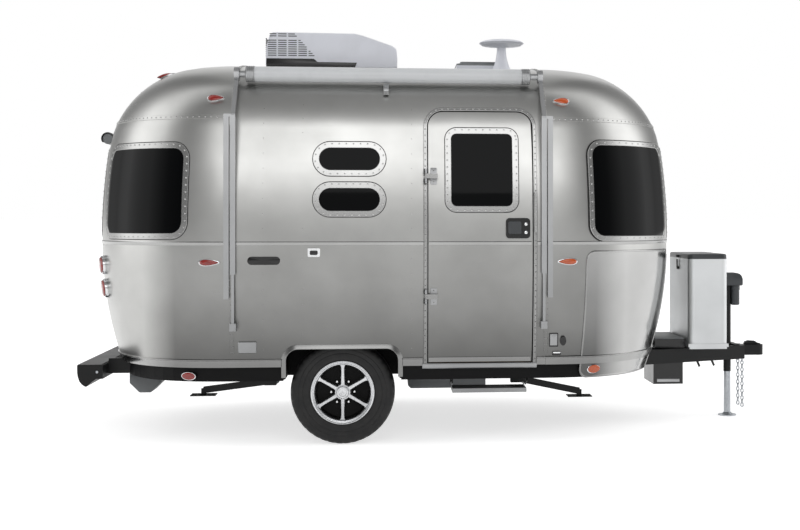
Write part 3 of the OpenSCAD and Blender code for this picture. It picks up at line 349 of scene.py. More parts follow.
SIDE_FOOT_RADIUS = foot_radius(HALF_WIDTH, FOOT_HALF_WIDTH)
SHOULDER_Y = HALF_WIDTH - WALL_RADIUS + (WALL_RADIUS - SHOULDER_RADIUS) * math.cos(WALL_LEAN)
SHOULDER_Z = BELT + (WALL_RADIUS - SHOULDER_RADIUS) * math.sin(WALL_LEAN)
CROWN_RADIUS = (SHOULDER_Y + SHOULDER_RADIUS * math.cos(CROWN_LEAN)) / math.cos(CROWN_LEAN)
CROWN_Z = SHOULDER_Z + (SHOULDER_RADIUS - CROWN_RADIUS) * math.sin(CROWN_LEAN)
ROOF = CROWN_Z + CROWN_RADIUS

END_FOOT_RADIUS = foot_radius(END_LENGTH, END_FOOT_LENGTH)
END_WALL_RADIUS = (END_SHOULDER - BELT) / math.sin(END_LEAN)
END_REACH = END_LENGTH - END_WALL_RADIUS * (1 - math.cos(END_LEAN))
CROWN_SLOPE = (1 - math.sin(END_CROWN_LEAN)) / math.cos(END_CROWN_LEAN)
END_RADIUS = (ROOF - END_SHOULDER - END_REACH * CROWN_SLOPE) / (
    math.sin(END_CROWN_LEAN) - math.sin(END_LEAN)
    - (math.cos(END_LEAN) - math.cos(END_CROWN_LEAN)) * CROWN_SLOPE)
END_X = END_REACH - END_RADIUS * math.cos(END_LEAN)
END_Z = END_SHOULDER - END_RADIUS * math.sin(END_LEAN)
END_CROWN_RADIUS = (END_X + END_RADIUS * math.cos(END_CROWN_LEAN)) / math.cos(END_CROWN_LEAN)
END_CROWN_Z = END_Z + (END_RADIUS - END_CROWN_RADIUS) * math.sin(END_CROWN_LEAN)


def arc_at(z, out, radius, centre, centre_z):
    """Offset at height z of an arc whose skin is moved outward."""
    return centre + np.sqrt(np.maximum(0.0, (radius + out) ** 2 - (z - centre_z) ** 2))


def side_half(z, out=0.0):
    """Half of the body's width at height z, moved outward."""
    z = np.asarray(z, float)
    return np.select(
        [z <= BELT, z <= BELT + (WALL_RADIUS + out) * math.sin(WALL_LEAN),
         z <= SHOULDER_Z + (SHOULDER_RADIUS + out) * math.sin(CROWN_LEAN)],
        [arc_at(z, out, SIDE_FOOT_RADIUS, HALF_WIDTH - SIDE_FOOT_RADIUS, BELT),
         arc_at(z, out, WALL_RADIUS, HALF_WIDTH - WALL_RADIUS, BELT),
         arc_at(z, out, SHOULDER_RADIUS, SHOULDER_Y, SHOULDER_Z)],
        arc_at(z, out, CROWN_RADIUS, 0.0, CROWN_Z))


def end_half(z, out=0.0):
    """How far an end shell reaches past its seam at height z, moved outward."""
    z = np.asarray(z, float)
    return np.select(
        [z <= BELT, z <= BELT + (END_WALL_RADIUS + out) * math.sin(END_LEAN),
         z <= END_Z + (END_RADIUS + out) * math.sin(END_CROWN_LEAN)],
        [arc_at(z, out, END_FOOT_RADIUS, END_LENGTH - END_FOOT_RADIUS, BELT),
         arc_at(z, out, END_WALL_RADIUS, END_LENGTH - END_WALL_RADIUS, BELT),
         arc_at(z, out, END_RADIUS, END_X, END_Z)],
        arc_at(z, out, END_CROWN_RADIUS, 0.0, END_CROWN_Z))


def lean_height(lean, out=0.0):
    """Height at which the side skin leans by this angle."""
    if lean <= WALL_LEAN:
        return BELT + (WALL_RADIUS + out) * math.sin(lean)
    if lean <= CROWN_LEAN:
        return SHOULDER_Z + (SHOULDER_RADIUS + out) * math.sin(lean)
    return CROWN_Z + (CROWN_RADIUS + out) * math.sin(lean)


print("roof at", round(ROOF, 4), "m, frame's walls from", round(SEAM_REAR, 3), "to", round(SEAM_FRONT, 3))

# %% [markdown]
# Pieces are laid out on the skin as a tailor would, in two directions: along the body and up. On a
# side wall the first is X. Round an end it is the length of tape from the middle of the end, found
# from a table, because equal steps of angle are not equal lengths on a squarish ellipse.
# %% Places on the skin
TURNS = np.linspace(-math.pi / 2, math.pi / 2, 721)


def end_plan(turn, z, out=0.0):
    """Reach and sideways place on an end shell; turn 0 is the middle, and the near side is negative."""
    power = 2 / SQUARENESS
    across = np.sign(np.sin(turn)) * np.abs(np.sin(turn)) ** power
    return end_half(z, out) * np.maximum(0, np.cos(turn)) ** power, side_half(z, out) * across


reach_table, across_table = end_plan(TURNS, np.full_like(TURNS, BELT))
TAPE = np.concatenate([[0], np.cumsum(np.hypot(np.diff(reach_table), np.diff(across_table)))])
TAPE -= TAPE[len(TAPE) // 2]
END_TAPE = TAPE[-1]  # from the middle of an end to its seam


def turn_at(tape):
    """Plan turn at a length of tape from the middle of an end."""
    return np.interp(tape, TAPE, TURNS)


def tape_at(turn_degrees):
    """Length of tape from the middle of an end at a plan turn."""
    return float(np.interp(math.radians(turn_degrees), TURNS, TAPE))


# each surface turns a place along it, a height and a distance out of the skin into a point
def near_side(u, z, out=0.0):
    return Vector((u, -float(side_half(z, out)), z))


def far_side(u, z, out=0.0):
    return Vector((u, float(side_half(z, out)), z))


def rear_end(u, z, out=0.0):
    reach, across = end_plan(turn_at(u), z, out)
    return Vector((SEAM_REAR - float(reach), float(across), z))


def front_end(u, z, out=0.0):
    reach, across = end_plan(turn_at(u), z, out)
    return Vector((SEAM_FRONT + float(reach), float(across), z))


def outward(surface, u, z):
    """The skin's outward direction at a place."""
    step = 0.002
    along = surface(u + step, z) - surface(u - step, z)
    up = surface(u, z + step) - surface(u, z - step)
    normal = along.cross(up).normalized()
    return normal if normal.dot(surface(u, z, 0.02) - surface(u, z)) > 0 else -normal


print("tape from end middle to seam:", round(float(END_TAPE), 3), "m")

# %% [markdown]
# Smooth metal shows every flat facet, so the panels take the skin's true direction at each corner
# as their shading normal. It comes from one formula for the whole body: how far out a point lies,
# as a share of the skin. Its gradient points straight out, on walls, shoulders and ends alike.
# %% True normals for skin panels
FLAT_CROWN = 0.004  # the last few millimetres of the crown count as level
SAME_WAY = 0.85  # cosine above which a face counts as part of the skin and not as a cut edge


def share_of_skin(points):
    """1 on the skin, less inside and more outside, for an array of points."""
    x, y, z = points.T
    past = np.maximum(0, np.maximum(SEAM_REAR - x, x - SEAM_FRONT))
    z = np.minimum(z, ROOF - 0.0005)
    return (past / np.maximum(end_half(z), 0.01)) ** SQUARENESS + (
        np.abs(y) / np.maximum(side_half(z), 0.01)) ** SQUARENESS


def skin_normals(points):
    """The skin's outward direction at each point of an array."""
    step = 0.0008
    grown = np.stack([share_of_skin(points + axis * step) - share_of_skin(points - axis * step)
                      for axis in np.eye(3)], 1)
    top = points[:, 2] > ROOF - FLAT_CROWN
    grown[top] = (0, 0, 1)
    return grown / np.maximum(np.linalg.norm(grown, axis=1, keepdims=True), 1e-12)


def shade_as_skin(piece):
    """Outer and inner faces take the skin's normals; cut edges stay flat."""
    mesh = piece.data
    corners = np.array([mesh.vertices[loop.vertex_index].co for loop in mesh.loops])
    true = skin_normals(corners)
    normals = np.zeros_like(true)
    for face in mesh.polygons:
        face.use_smooth = True
        flat = np.array(face.normal)
        for i in face.loop_indices:
            match = float(flat @ true[i])
            normals[i] = true[i] if match > SAME_WAY else -true[i] if match < -SAME_WAY else flat
    mesh.normals_split_custom_set(normals.tolist())


# %% [markdown]
# A piece is a mesh of points and faces that rides on one body. Points that meet are welded and the
# faces are turned outward, so that shading and booleans both read it as a solid.
# %% Pieces from points and faces
def piece_from(name, points, faces, material, body, smooth=True):
    """A mesh piece that rides on a body."""
    mesh = bpy.data.meshes.new(name)
    mesh.from_pydata([tuple(p) for p in points], [], faces)
    work = bmesh.new()
    work.from_mesh(mesh)
    bmesh.ops.remove_doubles(work, verts=work.verts, dist=1e-6)
    bmesh.ops.recalc_face_normals(work, faces=work.faces)
    work.to_mesh(mesh)
    work.free()
    mesh.materials.append(material)
    for face in mesh.polygons:
        face.use_smooth = smooth
    piece = bpy.data.objects.new(name, mesh)
    bpy.context.scene.collection.objects.link(piece)
    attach(piece, body)
    return piece


def sharpen(piece, degrees=35):
    """Edges sharper than this stay crisp in smooth shading."""
    piece.data.set_sharp_from_angle(angle=math.radians(degrees))
    return piece


def merged(parts):
    """Several (points, faces) lists as one."""
    points, faces = [], []
    for part_points, part_faces in parts:
        start = len(points)
        points += list(part_points)
        faces += [tuple(start + i for i in face) for face in part_faces]
    return points, faces


# %% [markdown]
# Real trim is extruded with one section and then bent round its opening. A swept moulding is made the
# same way: a loop on the skin, with round corners, carries a small section along it. Plain parts are
# an outline pushed straight out.
# %% Loops, pushed outlines and swept mouldings
def loop_with_corners(u0, z0, u1, z1, radius, step=0.05, square_foot=False):
    """Places and outward directions round a rectangle with round corners, anticlockwise."""
    places = []
    corners = [(u1 - radius, z1 - radius, 0), (u0 + radius, z1 - radius, 90),
               (u0 + radius, z0 + radius, 180), (u1 - radius, z0 + radius, 270)]
    if square_foot:
        corners[2:] = [(u0, z0, None), (u1, z0, None)]
    for cu, cz, start in corners:
        if start is None:
            places.append((cu, cz, -1.0 if cu == u0 else 1.0, 0.0))
            continue
        for i in range(9):
            a = math.radians(start + i * 90 / 8)
            places.append((cu + radius * math.cos(a), cz + radius * math.sin(a), math.cos(a), math.sin(a)))
    filled = []
    for i in range(len(places)):
        here, there = places[i], places[(i + 1) % len(places)]
        filled.append(here)
        if square_foot and here[1] == z0 and there[1] == z0:
            continue
        parts = int(math.hypot(there[0] - here[0], there[1] - here[1]) / step)
        for k in range(1, parts + 1):
            share = k / (parts + 1)
            filled.append(tuple(here[j] + (there[j] - here[j]) * share for j in range(4)))
    if square_foot:  # the run starts at one foot and ends at the other
        first = next(i for i, p in enumerate(filled) if p[1] == z0 and p[0] == u1)
        filled = filled[first:] + filled[:first]
    return filled


def ring_band(first, second, count):
    """Faces between two rings of points, which start at these numbers."""
    return [(first + k, first + (k + 1) % count, second + (k + 1) % count, second + k) for k in range(count)]


def extruded(outline, place, low, high):
    """An outline of 2-D points pushed from low to high; place(a, b, depth) gives a point."""
    n = len(outline)
    points = [place(a, b, d) for d in (low, high) for a, b in outline]
    faces = [tuple(range(n)), tuple(reversed(range(n, 2 * n)))]
    return points, faces + [(i, n + i, n + (i + 1) % n, (i + 1) % n) for i in range(n)]


def sweep(surface, places, section, closed=True):
    """A closed section of (sideways, out) points swept along places on a surface."""
    points = [surface(u + nu * k, z + nz * k, out) for u, z, nu, nz in places for k, out in section]
    m, n = len(section), len(places)
    faces = []
    for i in range(n if closed else n - 1):
        faces += ring_band(i * m, (i + 1) % n * m, m)
    if not closed:
        faces += [tuple(range(m)), tuple((n - 1) * m + k for k in reversed(range(m)))]
    return points, faces


def flat_section(inner, outer, height, base=-0.001, edge=0.002):
    """Section of a flat moulding with eased edges."""
    return [(inner, base), (outer, base), (outer, height - edge), (outer - edge, height),
            (inner + edge, height), (inner, height - edge)]


def bead_section(middle, radius, base=-0.001, steps=7):
    """Section of a half-round bead."""
    arc = [math.pi * i / steps for i in range(steps + 1)]
    return [(middle - radius, base)] + [(middle - radius * math.cos(a), radius * math.sin(a))
                                        for a in arc] + [(middle + radius, base)]


print("a loop with round corners has", len(loop_with_corners(0, 0, 0.6, 0.6, 0.08)), "places")

# %% [markdown]
# Rows of domed rivets hold the sheets and frames. Each is a small dome that stands square to the
# skin, and a row of them keeps an equal spacing along its line.
# %% Rivets along a line
def rivet(place, out, radius=0.0064, height=0.0038, sides=8):
    """A domed rivet head: two rings and a crown."""
    side = out.orthogonal().normalized()
    other = out.cross(side)
    points = []
    for share, lift in ((1.0, -0.0004), (0.62, 0.72)):
        for i in range(sides):
            a = 2 * math.pi * i / sides
            points.append(place + (side * math.cos(a) + other * math.sin(a)) * radius * share
                          + out * height * lift)
    points.append(place + out * height)
    faces = [(i, (i + 1) % sides, sides + (i + 1) % sides, sides + i) for i in range(sides)]
    faces += [(sides + i, sides + (i + 1) % sides, 2 * sides) for i in range(sides)]
    return points, faces


def rivets_along(surface, places, spacing, out=0.0, **size):
    """Rivets at equal spacing along a run of (u, z) places."""
    found, carried = [], spacing / 2
    for (u0, z0), (u1, z1) in zip(places, places[1:]):
        length = (surface(u1, z1) - surface(u0, z0)).length
        while carried < length:
            share = carried / length
            u, z = u0 + (u1 - u0) * share, z0 + (z1 - z0) * share
            found.append(rivet(surface(u, z, out), outward(surface, u, z), **size))
            carried += spacing
        carried -= length
    return found


def edge_run(places, sideways):
    """The (u, z) run beside a loop of places."""
    run = [(u + nu * sideways, z + nz * sideways) for u, z, nu, nz in places]
    return run + run[:1]


body_rivets, door_rivets = [], []
print("a rivet has", len(rivet(Vector((0, 0, 0)), Vector((0, 0, 1)))[1]), "faces")

# %% [markdown]
# Each panel is a grid on the skin, closed by a second grid one wall inward, and its openings are
# cut with plugs. The plugs are the window outlines pushed straight through the wall. Cutting by
# boolean leaves clean edges at any corner radius, where a hand-made grid would need its own mesh.
# %% Panel grids and plugs
WALL_LEANS = ([WALL_LEAN * i / 6 for i in range(1, 7)]
              + [WALL_LEAN + (SPLIT_LEAN - WALL_LEAN) * i / 9 for i in range(1, 10)])
ROOF_LEANS = ([SPLIT_LEAN + (CROWN_LEAN - SPLIT_LEAN) * i / 9 for i in range(10)]
              + [CROWN_LEAN + (math.pi / 2 - CROWN_LEAN) * i / 6 for i in range(1, 7)])
BELOW_BELT = 13  # rows of the grid up to the belt
SIDE_ROWS = [(z, z) for z in np.linspace(FOOT, BELT, BELOW_BELT)] + [
    (lean_height(lean), lean_height(lean, -WALL_T)) for lean in WALL_LEANS]  # (outside, inside) heights
ROOF_ROWS = [(lean_height(lean), lean_height(lean, -WALL_T)) for lean in ROOF_LEANS]


def grid_panel(outer_rows, inner_rows):
    """A closed panel between an outer and an inner grid of points with the same layout."""
    rows, cols = len(outer_rows), len(outer_rows[0])
    points = [p for row in outer_rows for p in row] + [p for row in inner_rows for p in row]
    count = rows * cols

    def at(i, j):
        return i * cols + j

    faces = []
    for i in range(rows - 1):
        for j in range(cols - 1):
            faces.append((at(i, j), at(i, j + 1), at(i + 1, j + 1), at(i + 1, j)))
            faces.append(tuple(count + k for k in (at(i, j), at(i + 1, j), at(i + 1, j + 1), at(i, j + 1))))
    edge = ([at(0, j) for j in range(cols)] + [at(i, cols - 1) for i in range(1, rows)]
            + [at(rows - 1, j) for j in reversed(range(cols - 1))]
            + [at(i, 0) for i in reversed(range(1, rows - 1))])
    faces += [(a, b, b + count, a + count) for a, b in zip(edge, edge[1:] + edge[:1])]
    return points, faces


def cut(piece, plugs):
    """Cuts closed plugs out of a piece, then removes them."""
    for points, faces in plugs:
        plug = piece_from("plug", points, faces, polished_sheet, "body")
        cutter = piece.modifiers.new("opening", "BOOLEAN")
        cutter.operation = "DIFFERENCE"
        cutter.solver = "EXACT"
        cutter.object = plug
        bpy.context.view_layer.objects.active = piece
        bpy.ops.object.modifier_apply(modifier=cutter.name)
        bpy.data.objects.remove(plug)


print("rows of a side wall:", len(SIDE_ROWS), "rows of half the roof:", len(ROOF_ROWS))

# %% [markdown]
# Both side walls have two small oval windows and an arch over the wheel. The near one also has the
# doorway, and the far one a square window opposite. The outlines are kept, because frames and trims
# follow the same loops later on.
# %% Side walls
OVALS = [(-0.850, 1.564, -0.443, 1.721), (-0.850, 1.835, -0.443, 1.990)]
OVAL_LOOPS = [loop_with_corners(*box, (box[3] - box[1]) / 2 - 0.0005) for box in OVALS]
FAR_WINDOW = (-0.100, 1.420, 0.500, 2.000)
FAR_LOOP = loop_with_corners(*FAR_WINDOW, 0.080)
ARCH = (-1.065, FOOT - 0.06, -0.325, 0.651)
ARCH_LOOP = loop_with_corners(*ARCH, 0.080, square_foot=True)
door_low, door_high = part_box("door")
DOOR = (-0.125, door_low.z, 0.571, door_high.z)
DOOR_GAP, DOOR_SEAT = 0.008, 0.010
DOOR_RADIUS = 0.100
DOOR_HOLE = loop_with_corners(DOOR[0] - DOOR_SEAT, FOOT - 0.06, DOOR[2] + DOOR_SEAT,
                              DOOR[3] + DOOR_SEAT, DOOR_RADIUS + DOOR_SEAT, square_foot=True)


def side_panel(name, surface):
    """A side wall between the seams, still without its openings."""
    xs = np.linspace(SEAM_REAR, SEAM_FRONT, 25)
    outer = [[surface(x, z) for x in xs] for z, _ in SIDE_ROWS]
    inner = [[surface(x, z, -WALL_T) for x in xs] for _, z in SIDE_ROWS]
    return piece_from(name, *grid_panel(outer, inner), polished_sheet, "body")


PLUG_ENDS = (1.4, 0.95)  # metres from the middle: outside the wall, and inside it


def deep_plug(surface, places):
    """A plug straight across the body, for openings cut square to the wall."""
    side = -1 if surface is near_side else 1
    return extruded([(u, z) for u, z, *_ in places], lambda u, z, y: (u, side * y, z), *PLUG_ENDS)


near_panel = side_panel("near_wall_sheet", near_side)
cut(near_panel, [deep_plug(near_side, loop) for loop in (*OVAL_LOOPS, ARCH_LOOP, DOOR_HOLE)])
far_panel = side_panel("far_wall_sheet", far_side)
cut(far_panel, [deep_plug(far_side, loop) for loop in (*OVAL_LOOPS, ARCH_LOOP, FAR_LOOP)])
for panel, node in ((near_panel, "near_wall"), (far_panel, "far_wall")):
    shade_as_skin(panel)
    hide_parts(node)
print("walls:", len(near_panel.data.polygons), len(far_panel.data.polygons), "faces")

# %% [markdown]
# The roof is the same grid carried over the crown from one side to the other, with a square hole for
# the vent. Each end is a grid in plan turn and height, so that its rows stay level and its columns
# run up to the crown like the gores of a real pressed end.
# %% Roof and end shells
vent_low, vent_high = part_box("roof_vent")
VENT_FLANGE = 0.020
VENT_HOLE = (vent_low.x + VENT_FLANGE, vent_low.y + VENT_FLANGE,
             vent_high.x - VENT_FLANGE, vent_high.y - VENT_FLANGE)
roof_xs = np.linspace(SEAM_REAR, SEAM_FRONT, 25)
roof_rows, ceiling_rows = [], []
for surface, rows in ((near_side, ROOF_ROWS), (far_side, ROOF_ROWS[-2::-1])):
    roof_rows += [[surface(x, z) for x in roof_xs] for z, _ in rows]
    ceiling_rows += [[surface(x, z, -WALL_T) for x in roof_xs] for _, z in rows]
roof_sheet = piece_from("roof_sheet", *grid_panel(roof_rows, ceiling_rows), polished_sheet, "body")
hole_points = [Vector((x, y, z)) for z in (ROOF + 0.1, ROOF - 0.25) for x, y in (
    (VENT_HOLE[0], VENT_HOLE[1]), (VENT_HOLE[2], VENT_HOLE[1]), (VENT_HOLE[2], VENT_HOLE[3]),
    (VENT_HOLE[0], VENT_HOLE[3]))]
BOX_FACES = [(0, 1, 2, 3), (7, 6, 5, 4), (0, 4, 5, 1), (1, 5, 6, 2), (2, 6, 7, 3), (3, 7, 4, 0)]
cut(roof_sheet, [(hole_points, BOX_FACES)])
shade_as_skin(roof_sheet)
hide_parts("roof_panel")

END_TAPES = np.linspace(-END_TAPE, END_TAPE, 73)
crown_rows = [tuple(low + (high - low) * share for low, high in zip(ROOF_ROWS[-2], ROOF_ROWS[-1]))
              for share in (0.75, 0.96, 0.9999)]
for end, surface in (("rear", rear_end), ("front", front_end)):
    rows = SIDE_ROWS + ROOF_ROWS[1:-1] + crown_rows
    outer = [[surface(u, z) for u in END_TAPES] for z, _ in rows]
    inner = [[surface(u, z, -WALL_T) for u in END_TAPES] for _, z in rows]
    shell = piece_from(f"{end}_end_sheet", *grid_panel(outer, inner), polished_sheet, "body")
    shade_as_skin(shell)
    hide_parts(f"{end}_shell")
    print(shell.name, len(shell.data.polygons), "faces")

# %% [markdown]
# A window is a sheet of glass bent to the skin, a little below the flange of a pressed aluminium
# frame that is riveted round it. Glass and frame are laid out from one loop, so the rivets follow
# the corners. The panes are closed sheets made of rings that shrink to the middle of the loop.
# %% Panes, frames and their rivets
FRAME_W = 0.037  # how far a frame reaches past its glass
RIVET_LINE = 0.62  # share of that width at which its rivets sit
RIVET_PITCH = 0.047


def sheet_on(surface, loop, out, thickness, rings=8):
    """A closed sheet with this outline, bent to the skin."""
    us, zs = [p[0] for p in loop], [p[1] for p in loop]
    cu, cz = (min(us) + max(us)) / 2, (min(zs) + max(zs)) / 2
    n, points, faces = len(loop), [], []
    for lift in (out, out - thickness):
        for ring in range(rings):
            share = 1 - ring / rings
            points += [surface(cu + (u - cu) * share, cz + (z - cz) * share, lift) for u, z in zip(us, zs)]
        points.append(surface(cu, cz, lift))
    back = rings * n + 1
    for i in range(n):
        j = (i + 1) % n
        for start in (0, back):
            for ring in range(rings - 1):
                a = start + ring * n
                faces.append((a + i, a + j, a + n + j, a + n + i))
            faces.append((start + (rings - 1) * n + i, start + (rings - 1) * n + j, start + rings * n))
        faces.append((i, j, back + j, back + i))
    return points, faces


def window(name, surface, loop, body, rivets, frame_out=0.006):
    """Glass and a riveted frame on a loop; returns both pieces."""
    pane = piece_from(name + "_glass", *sheet_on(surface, loop, 0.003, 0.008), dark_glass, body)
    shade_as_skin(pane)
    section = flat_section(-0.003, FRAME_W, frame_out, -0.004)
    rim = sharpen(piece_from(name + "_frame", *sweep(surface, loop, section), bright_extrusion, body))
    # a thin black bead just outside the frame draws a dark line round it
    bead = flat_section(FRAME_W - 0.001, FRAME_W + 0.0045, 0.0016, -0.002, 0.0004)
    piece_from(name + "_dark_edge_bead", *sweep(surface, loop, bead), rubber_seal, body)
    rivets.extend(rivets_along(surface, edge_run(loop, FRAME_W * RIVET_LINE), RIVET_PITCH, frame_out))
    return pane, rim


def end_loop(first_turn, last_turn, z0, z1, radius):
    """A loop on an end shell between two plan turns and two heights."""
    return loop_with_corners(tape_at(first_turn), z0, tape_at(last_turn), z1, radius)


GLASS_CORNER = 0.080
DOOR_GLASS = (0.024, 1.596, 0.441, 2.089)
REAR_GLASS_Z = (1.416, 1.985)
FRONT_GLASS_Z = (1.395, 2.020)
WRAPS = {"near": (-75.5, -32), "centre": (-13.5, 13.5), "far": (32, 75.5)}  # plan turns of the end windows
side_panes = []
for side, surface in (("near", near_side), ("far", far_side)):
    for level, loop in zip(("lower", "upper"), OVAL_LOOPS):
        side_panes += window(f"{side}_{level}_oval", surface, loop, "body", body_rivets)
side_panes += window("far_window", far_side, FAR_LOOP, "body", body_rivets)
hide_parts("side_windows")
rear_panes = []
for side, turns in WRAPS.items():
    loop = end_loop(*turns, *REAR_GLASS_Z, GLASS_CORNER)
    rear_panes += window(f"rear_{side}_window", rear_end, loop, "body", body_rivets)
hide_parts("rear_windows")
print("windows:", len(side_panes + rear_panes) // 2)

# %% [markdown]
# The front corner windows wear stone shields: a dark sheet in a bright frame that stands proud of
# the wall on clips, so that gravel thrown up by the towing wheels hits it and not the glass. The
# middle window is an ordinary one.
# %% Front windows and their shields
SHIELD_OUT = 0.022
centre_loop = end_loop(*WRAPS["centre"], *FRONT_GLASS_Z, GLASS_CORNER)
front_panes = list(window("front_centre_window", front_end, centre_loop, "body", body_rivets))
for side in ("near", "far"):
    loop = end_loop(*WRAPS[side], *FRONT_GLASS_Z, GLASS_CORNER)
    pane = piece_from(f"front_{side}_shield_sheet", *sheet_on(front_end, loop, SHIELD_OUT - 0.004, 0.014),
                      dark_glass, "body")
    shade_as_skin(pane)
    section = [(-0.004, -0.004), (0.030, -0.004), (0.031, SHIELD_OUT - 0.003), (0.028, SHIELD_OUT),
               (-0.001, SHIELD_OUT), (-0.004, SHIELD_OUT - 0.003)]
    rim = sharpen(piece_from(f"front_{side}_shield_frame", *sweep(front_end, loop, section),
                             bright_extrusion, "body"))
    # painted shade: a black strip on the wall along the frame's foot, for the dark gap under the proud shield
    gap_shade_section = [(0.026, 0.001), (0.036, 0.001), (0.036, 0.0035), (0.026, 0.0035)]
    gap = piece_from(f"front_{side}_shield_gap_shade", *sweep(front_end, loop, gap_shade_section), rubber_seal, "body")
    body_rivets += rivets_along(front_end, edge_run(loop, 0.014), 0.060, SHIELD_OUT)
    front_panes += [pane, rim]
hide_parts("front_windows")
print("front windows:", len(front_panes) // 2)

# %% [markdown]
# The door leaf is a piece of the same wall, so that the body's lines run on across it. Its free edge
# is trimmed to a circle round the hinge line, as a carpenter planes a thick door, or it would bind
# on the frame as it opens. It carries its own window, kick trim and the belt moulding.
# %% Door leaf
HINGE = (-0.141, -1.240)
LEAF_SWING = DOOR[2] - HINGE[0] + 0.003
DOOR_GLASS_LOOP = loop_with_corners(*DOOR_GLASS, 0.040)


def leaf_point(x, z, out=0.0):
    """A place on the leaf, kept inside the circle that its free edge turns on."""
    place = near_side(x, z, out)
    reach = math.hypot(place.x - HINGE[0], place.y - HINGE[1])
    if reach > LEAF_SWING:
        place.x = HINGE[0] + math.sqrt(max(0, LEAF_SWING**2 - (place.y - HINGE[1]) ** 2))
    return place


def leaf_span(z):
    """First and last X of the leaf at height z, with its round top corners."""
    rise = z - (DOOR[3] - DOOR_RADIUS)
    inset = DOOR_RADIUS - math.sqrt(max(0, DOOR_RADIUS**2 - rise**2)) if rise > 0 else 0.0
    return DOOR[0] + inset, DOOR[2] - inset


upper_rows = [z for z, _ in SIDE_ROWS[BELOW_BELT:] if z < DOOR[3] - 0.004] + [DOOR[3]]
corner_rows = [DOOR[3] - DOOR_RADIUS * (1 - math.sin(math.radians(a))) for a in range(0, 90, 10)]
leaf_rows = sorted({round(z, 5) for z in [*np.linspace(DOOR[1], BELT, 12), *upper_rows, *corner_rows]})
leaf_spots = [[(x, z) for x in np.linspace(*leaf_span(z), 19)] for z in leaf_rows]
leaf_outside = [[leaf_point(x, z) for x, z in row] for row in leaf_spots]
leaf_inside = [[leaf_point(x, z, -WALL_T) for x, z in row] for row in leaf_spots]
leaf = piece_from("door_leaf", *grid_panel(leaf_outside, leaf_inside), polished_sheet, "door")
cut(leaf, [deep_plug(near_side, DOOR_GLASS_LOOP)])
shade_as_skin(leaf)
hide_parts("door")
door_pane, _ = window("door_window", near_side, DOOR_GLASS_LOOP, "door", door_rivets)
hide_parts("door_window")
print("door leaf:", len(leaf.data.polygons), "faces")

# %% [markdown]
# Round the door runs a bright extrusion with two beads and a row of rivets on each side. The body
# also has a belt moulding all round, a bright trim along its lower edge, riveted joint strips at the
# seams and across the end caps, and rows of small rivets where the ribs stand behind the sheets.
# %% Door frame
FRAME_REACH = 0.033  # from the door's edge to the outer edge of its frame
DOOR_FRAME_LOOP = loop_with_corners(DOOR[0] - DOOR_GAP, FOOT - 0.033, DOOR[2] + DOOR_GAP, DOOR[3] + DOOR_GAP,
                                    DOOR_RADIUS + DOOR_GAP, square_foot=True)
frame_section = [(0.0, -0.012), (0.0, 0.0065), (0.002, 0.008), (0.006, 0.008), (0.008, 0.005), (0.018, 0.005),
                 (0.020, 0.0075), (0.023, 0.0075), (0.025, 0.004), (0.0255, -0.001)]
door_ring = sharpen(piece_from("door_frame_moulding",
                               *sweep(near_side, DOOR_FRAME_LOOP, frame_section, closed=False),
                               bright_extrusion, "body"), 30)
FRAME_RIVETS = 0.013  # from the frame's inner edge to its row of rivets
frame_run = [(u + nu * FRAME_RIVETS, z + nz * FRAME_RIVETS) for u, z, nu, nz in DOOR_FRAME_LOOP]
body_rivets += rivets_along(near_side, frame_run, 0.042, 0.005, radius=0.0048, height=0.003)
seal_section = [(-0.009, -0.030), (0.0005, -0.030), (0.0005, -0.016), (-0.009, -0.016)]
door_seal = piece_from("door_seal", *sweep(near_side, DOOR_FRAME_LOOP, seal_section, closed=False),
                       rubber_seal, "body")
SILL_Z = 0.534
sill_places = [(u, SILL_Z, 0, 1) for u in np.linspace(DOOR[0] - 0.039, DOOR[2] + 0.034, 15)]
sill_section = [(-0.022, -0.030), (0.012, -0.030), (0.012, 0.010), (0.006, 0.014), (-0.016, 0.014),
                (-0.022, 0.008)]
sill = sharpen(piece_from("door_sill", *sweep(near_side, sill_places, sill_section, closed=False),
                          satin_extrusion, "body"))
print("door frame loop:", len(DOOR_FRAME_LOOP), "places")

# %% [markdown]
# The mouldings are extrusions riveted on in lengths: one section is swept along a straight run on
# the skin, along the side or round an end. A run stops where a door or a wheel is in its way.
# %% Belt and lower trim
BELT_SECTION = [(-0.013, -0.001), (-0.012, 0.004), (-0.004, 0.0045), (0.0, 0.006), (0.008, 0.006),
                (0.013, 0.003), (0.013, -0.001)]
KICK_SECTION = [(-0.026, -0.004), (-0.026, 0.004), (-0.022, 0.006), (0.018, 0.006), (0.021, 0.009),
                (0.026, 0.009), (0.027, -0.004)]
KICK = 0.5575  # middle of the lower trim
ARCH_EDGE = 0.031


def level_run(name, surface, u0, u1, z, section, material, body, spacing=0.05, slot="trim"):
    """A length of moulding at one height."""
    places = [(u, z, 0.0, 1.0) for u in np.linspace(u0, u1, max(2, int(abs(u1 - u0) / spacing)))]
    piece = sharpen(piece_from(name, *sweep(surface, places, section, closed=False), material, body), 30)
    return piece


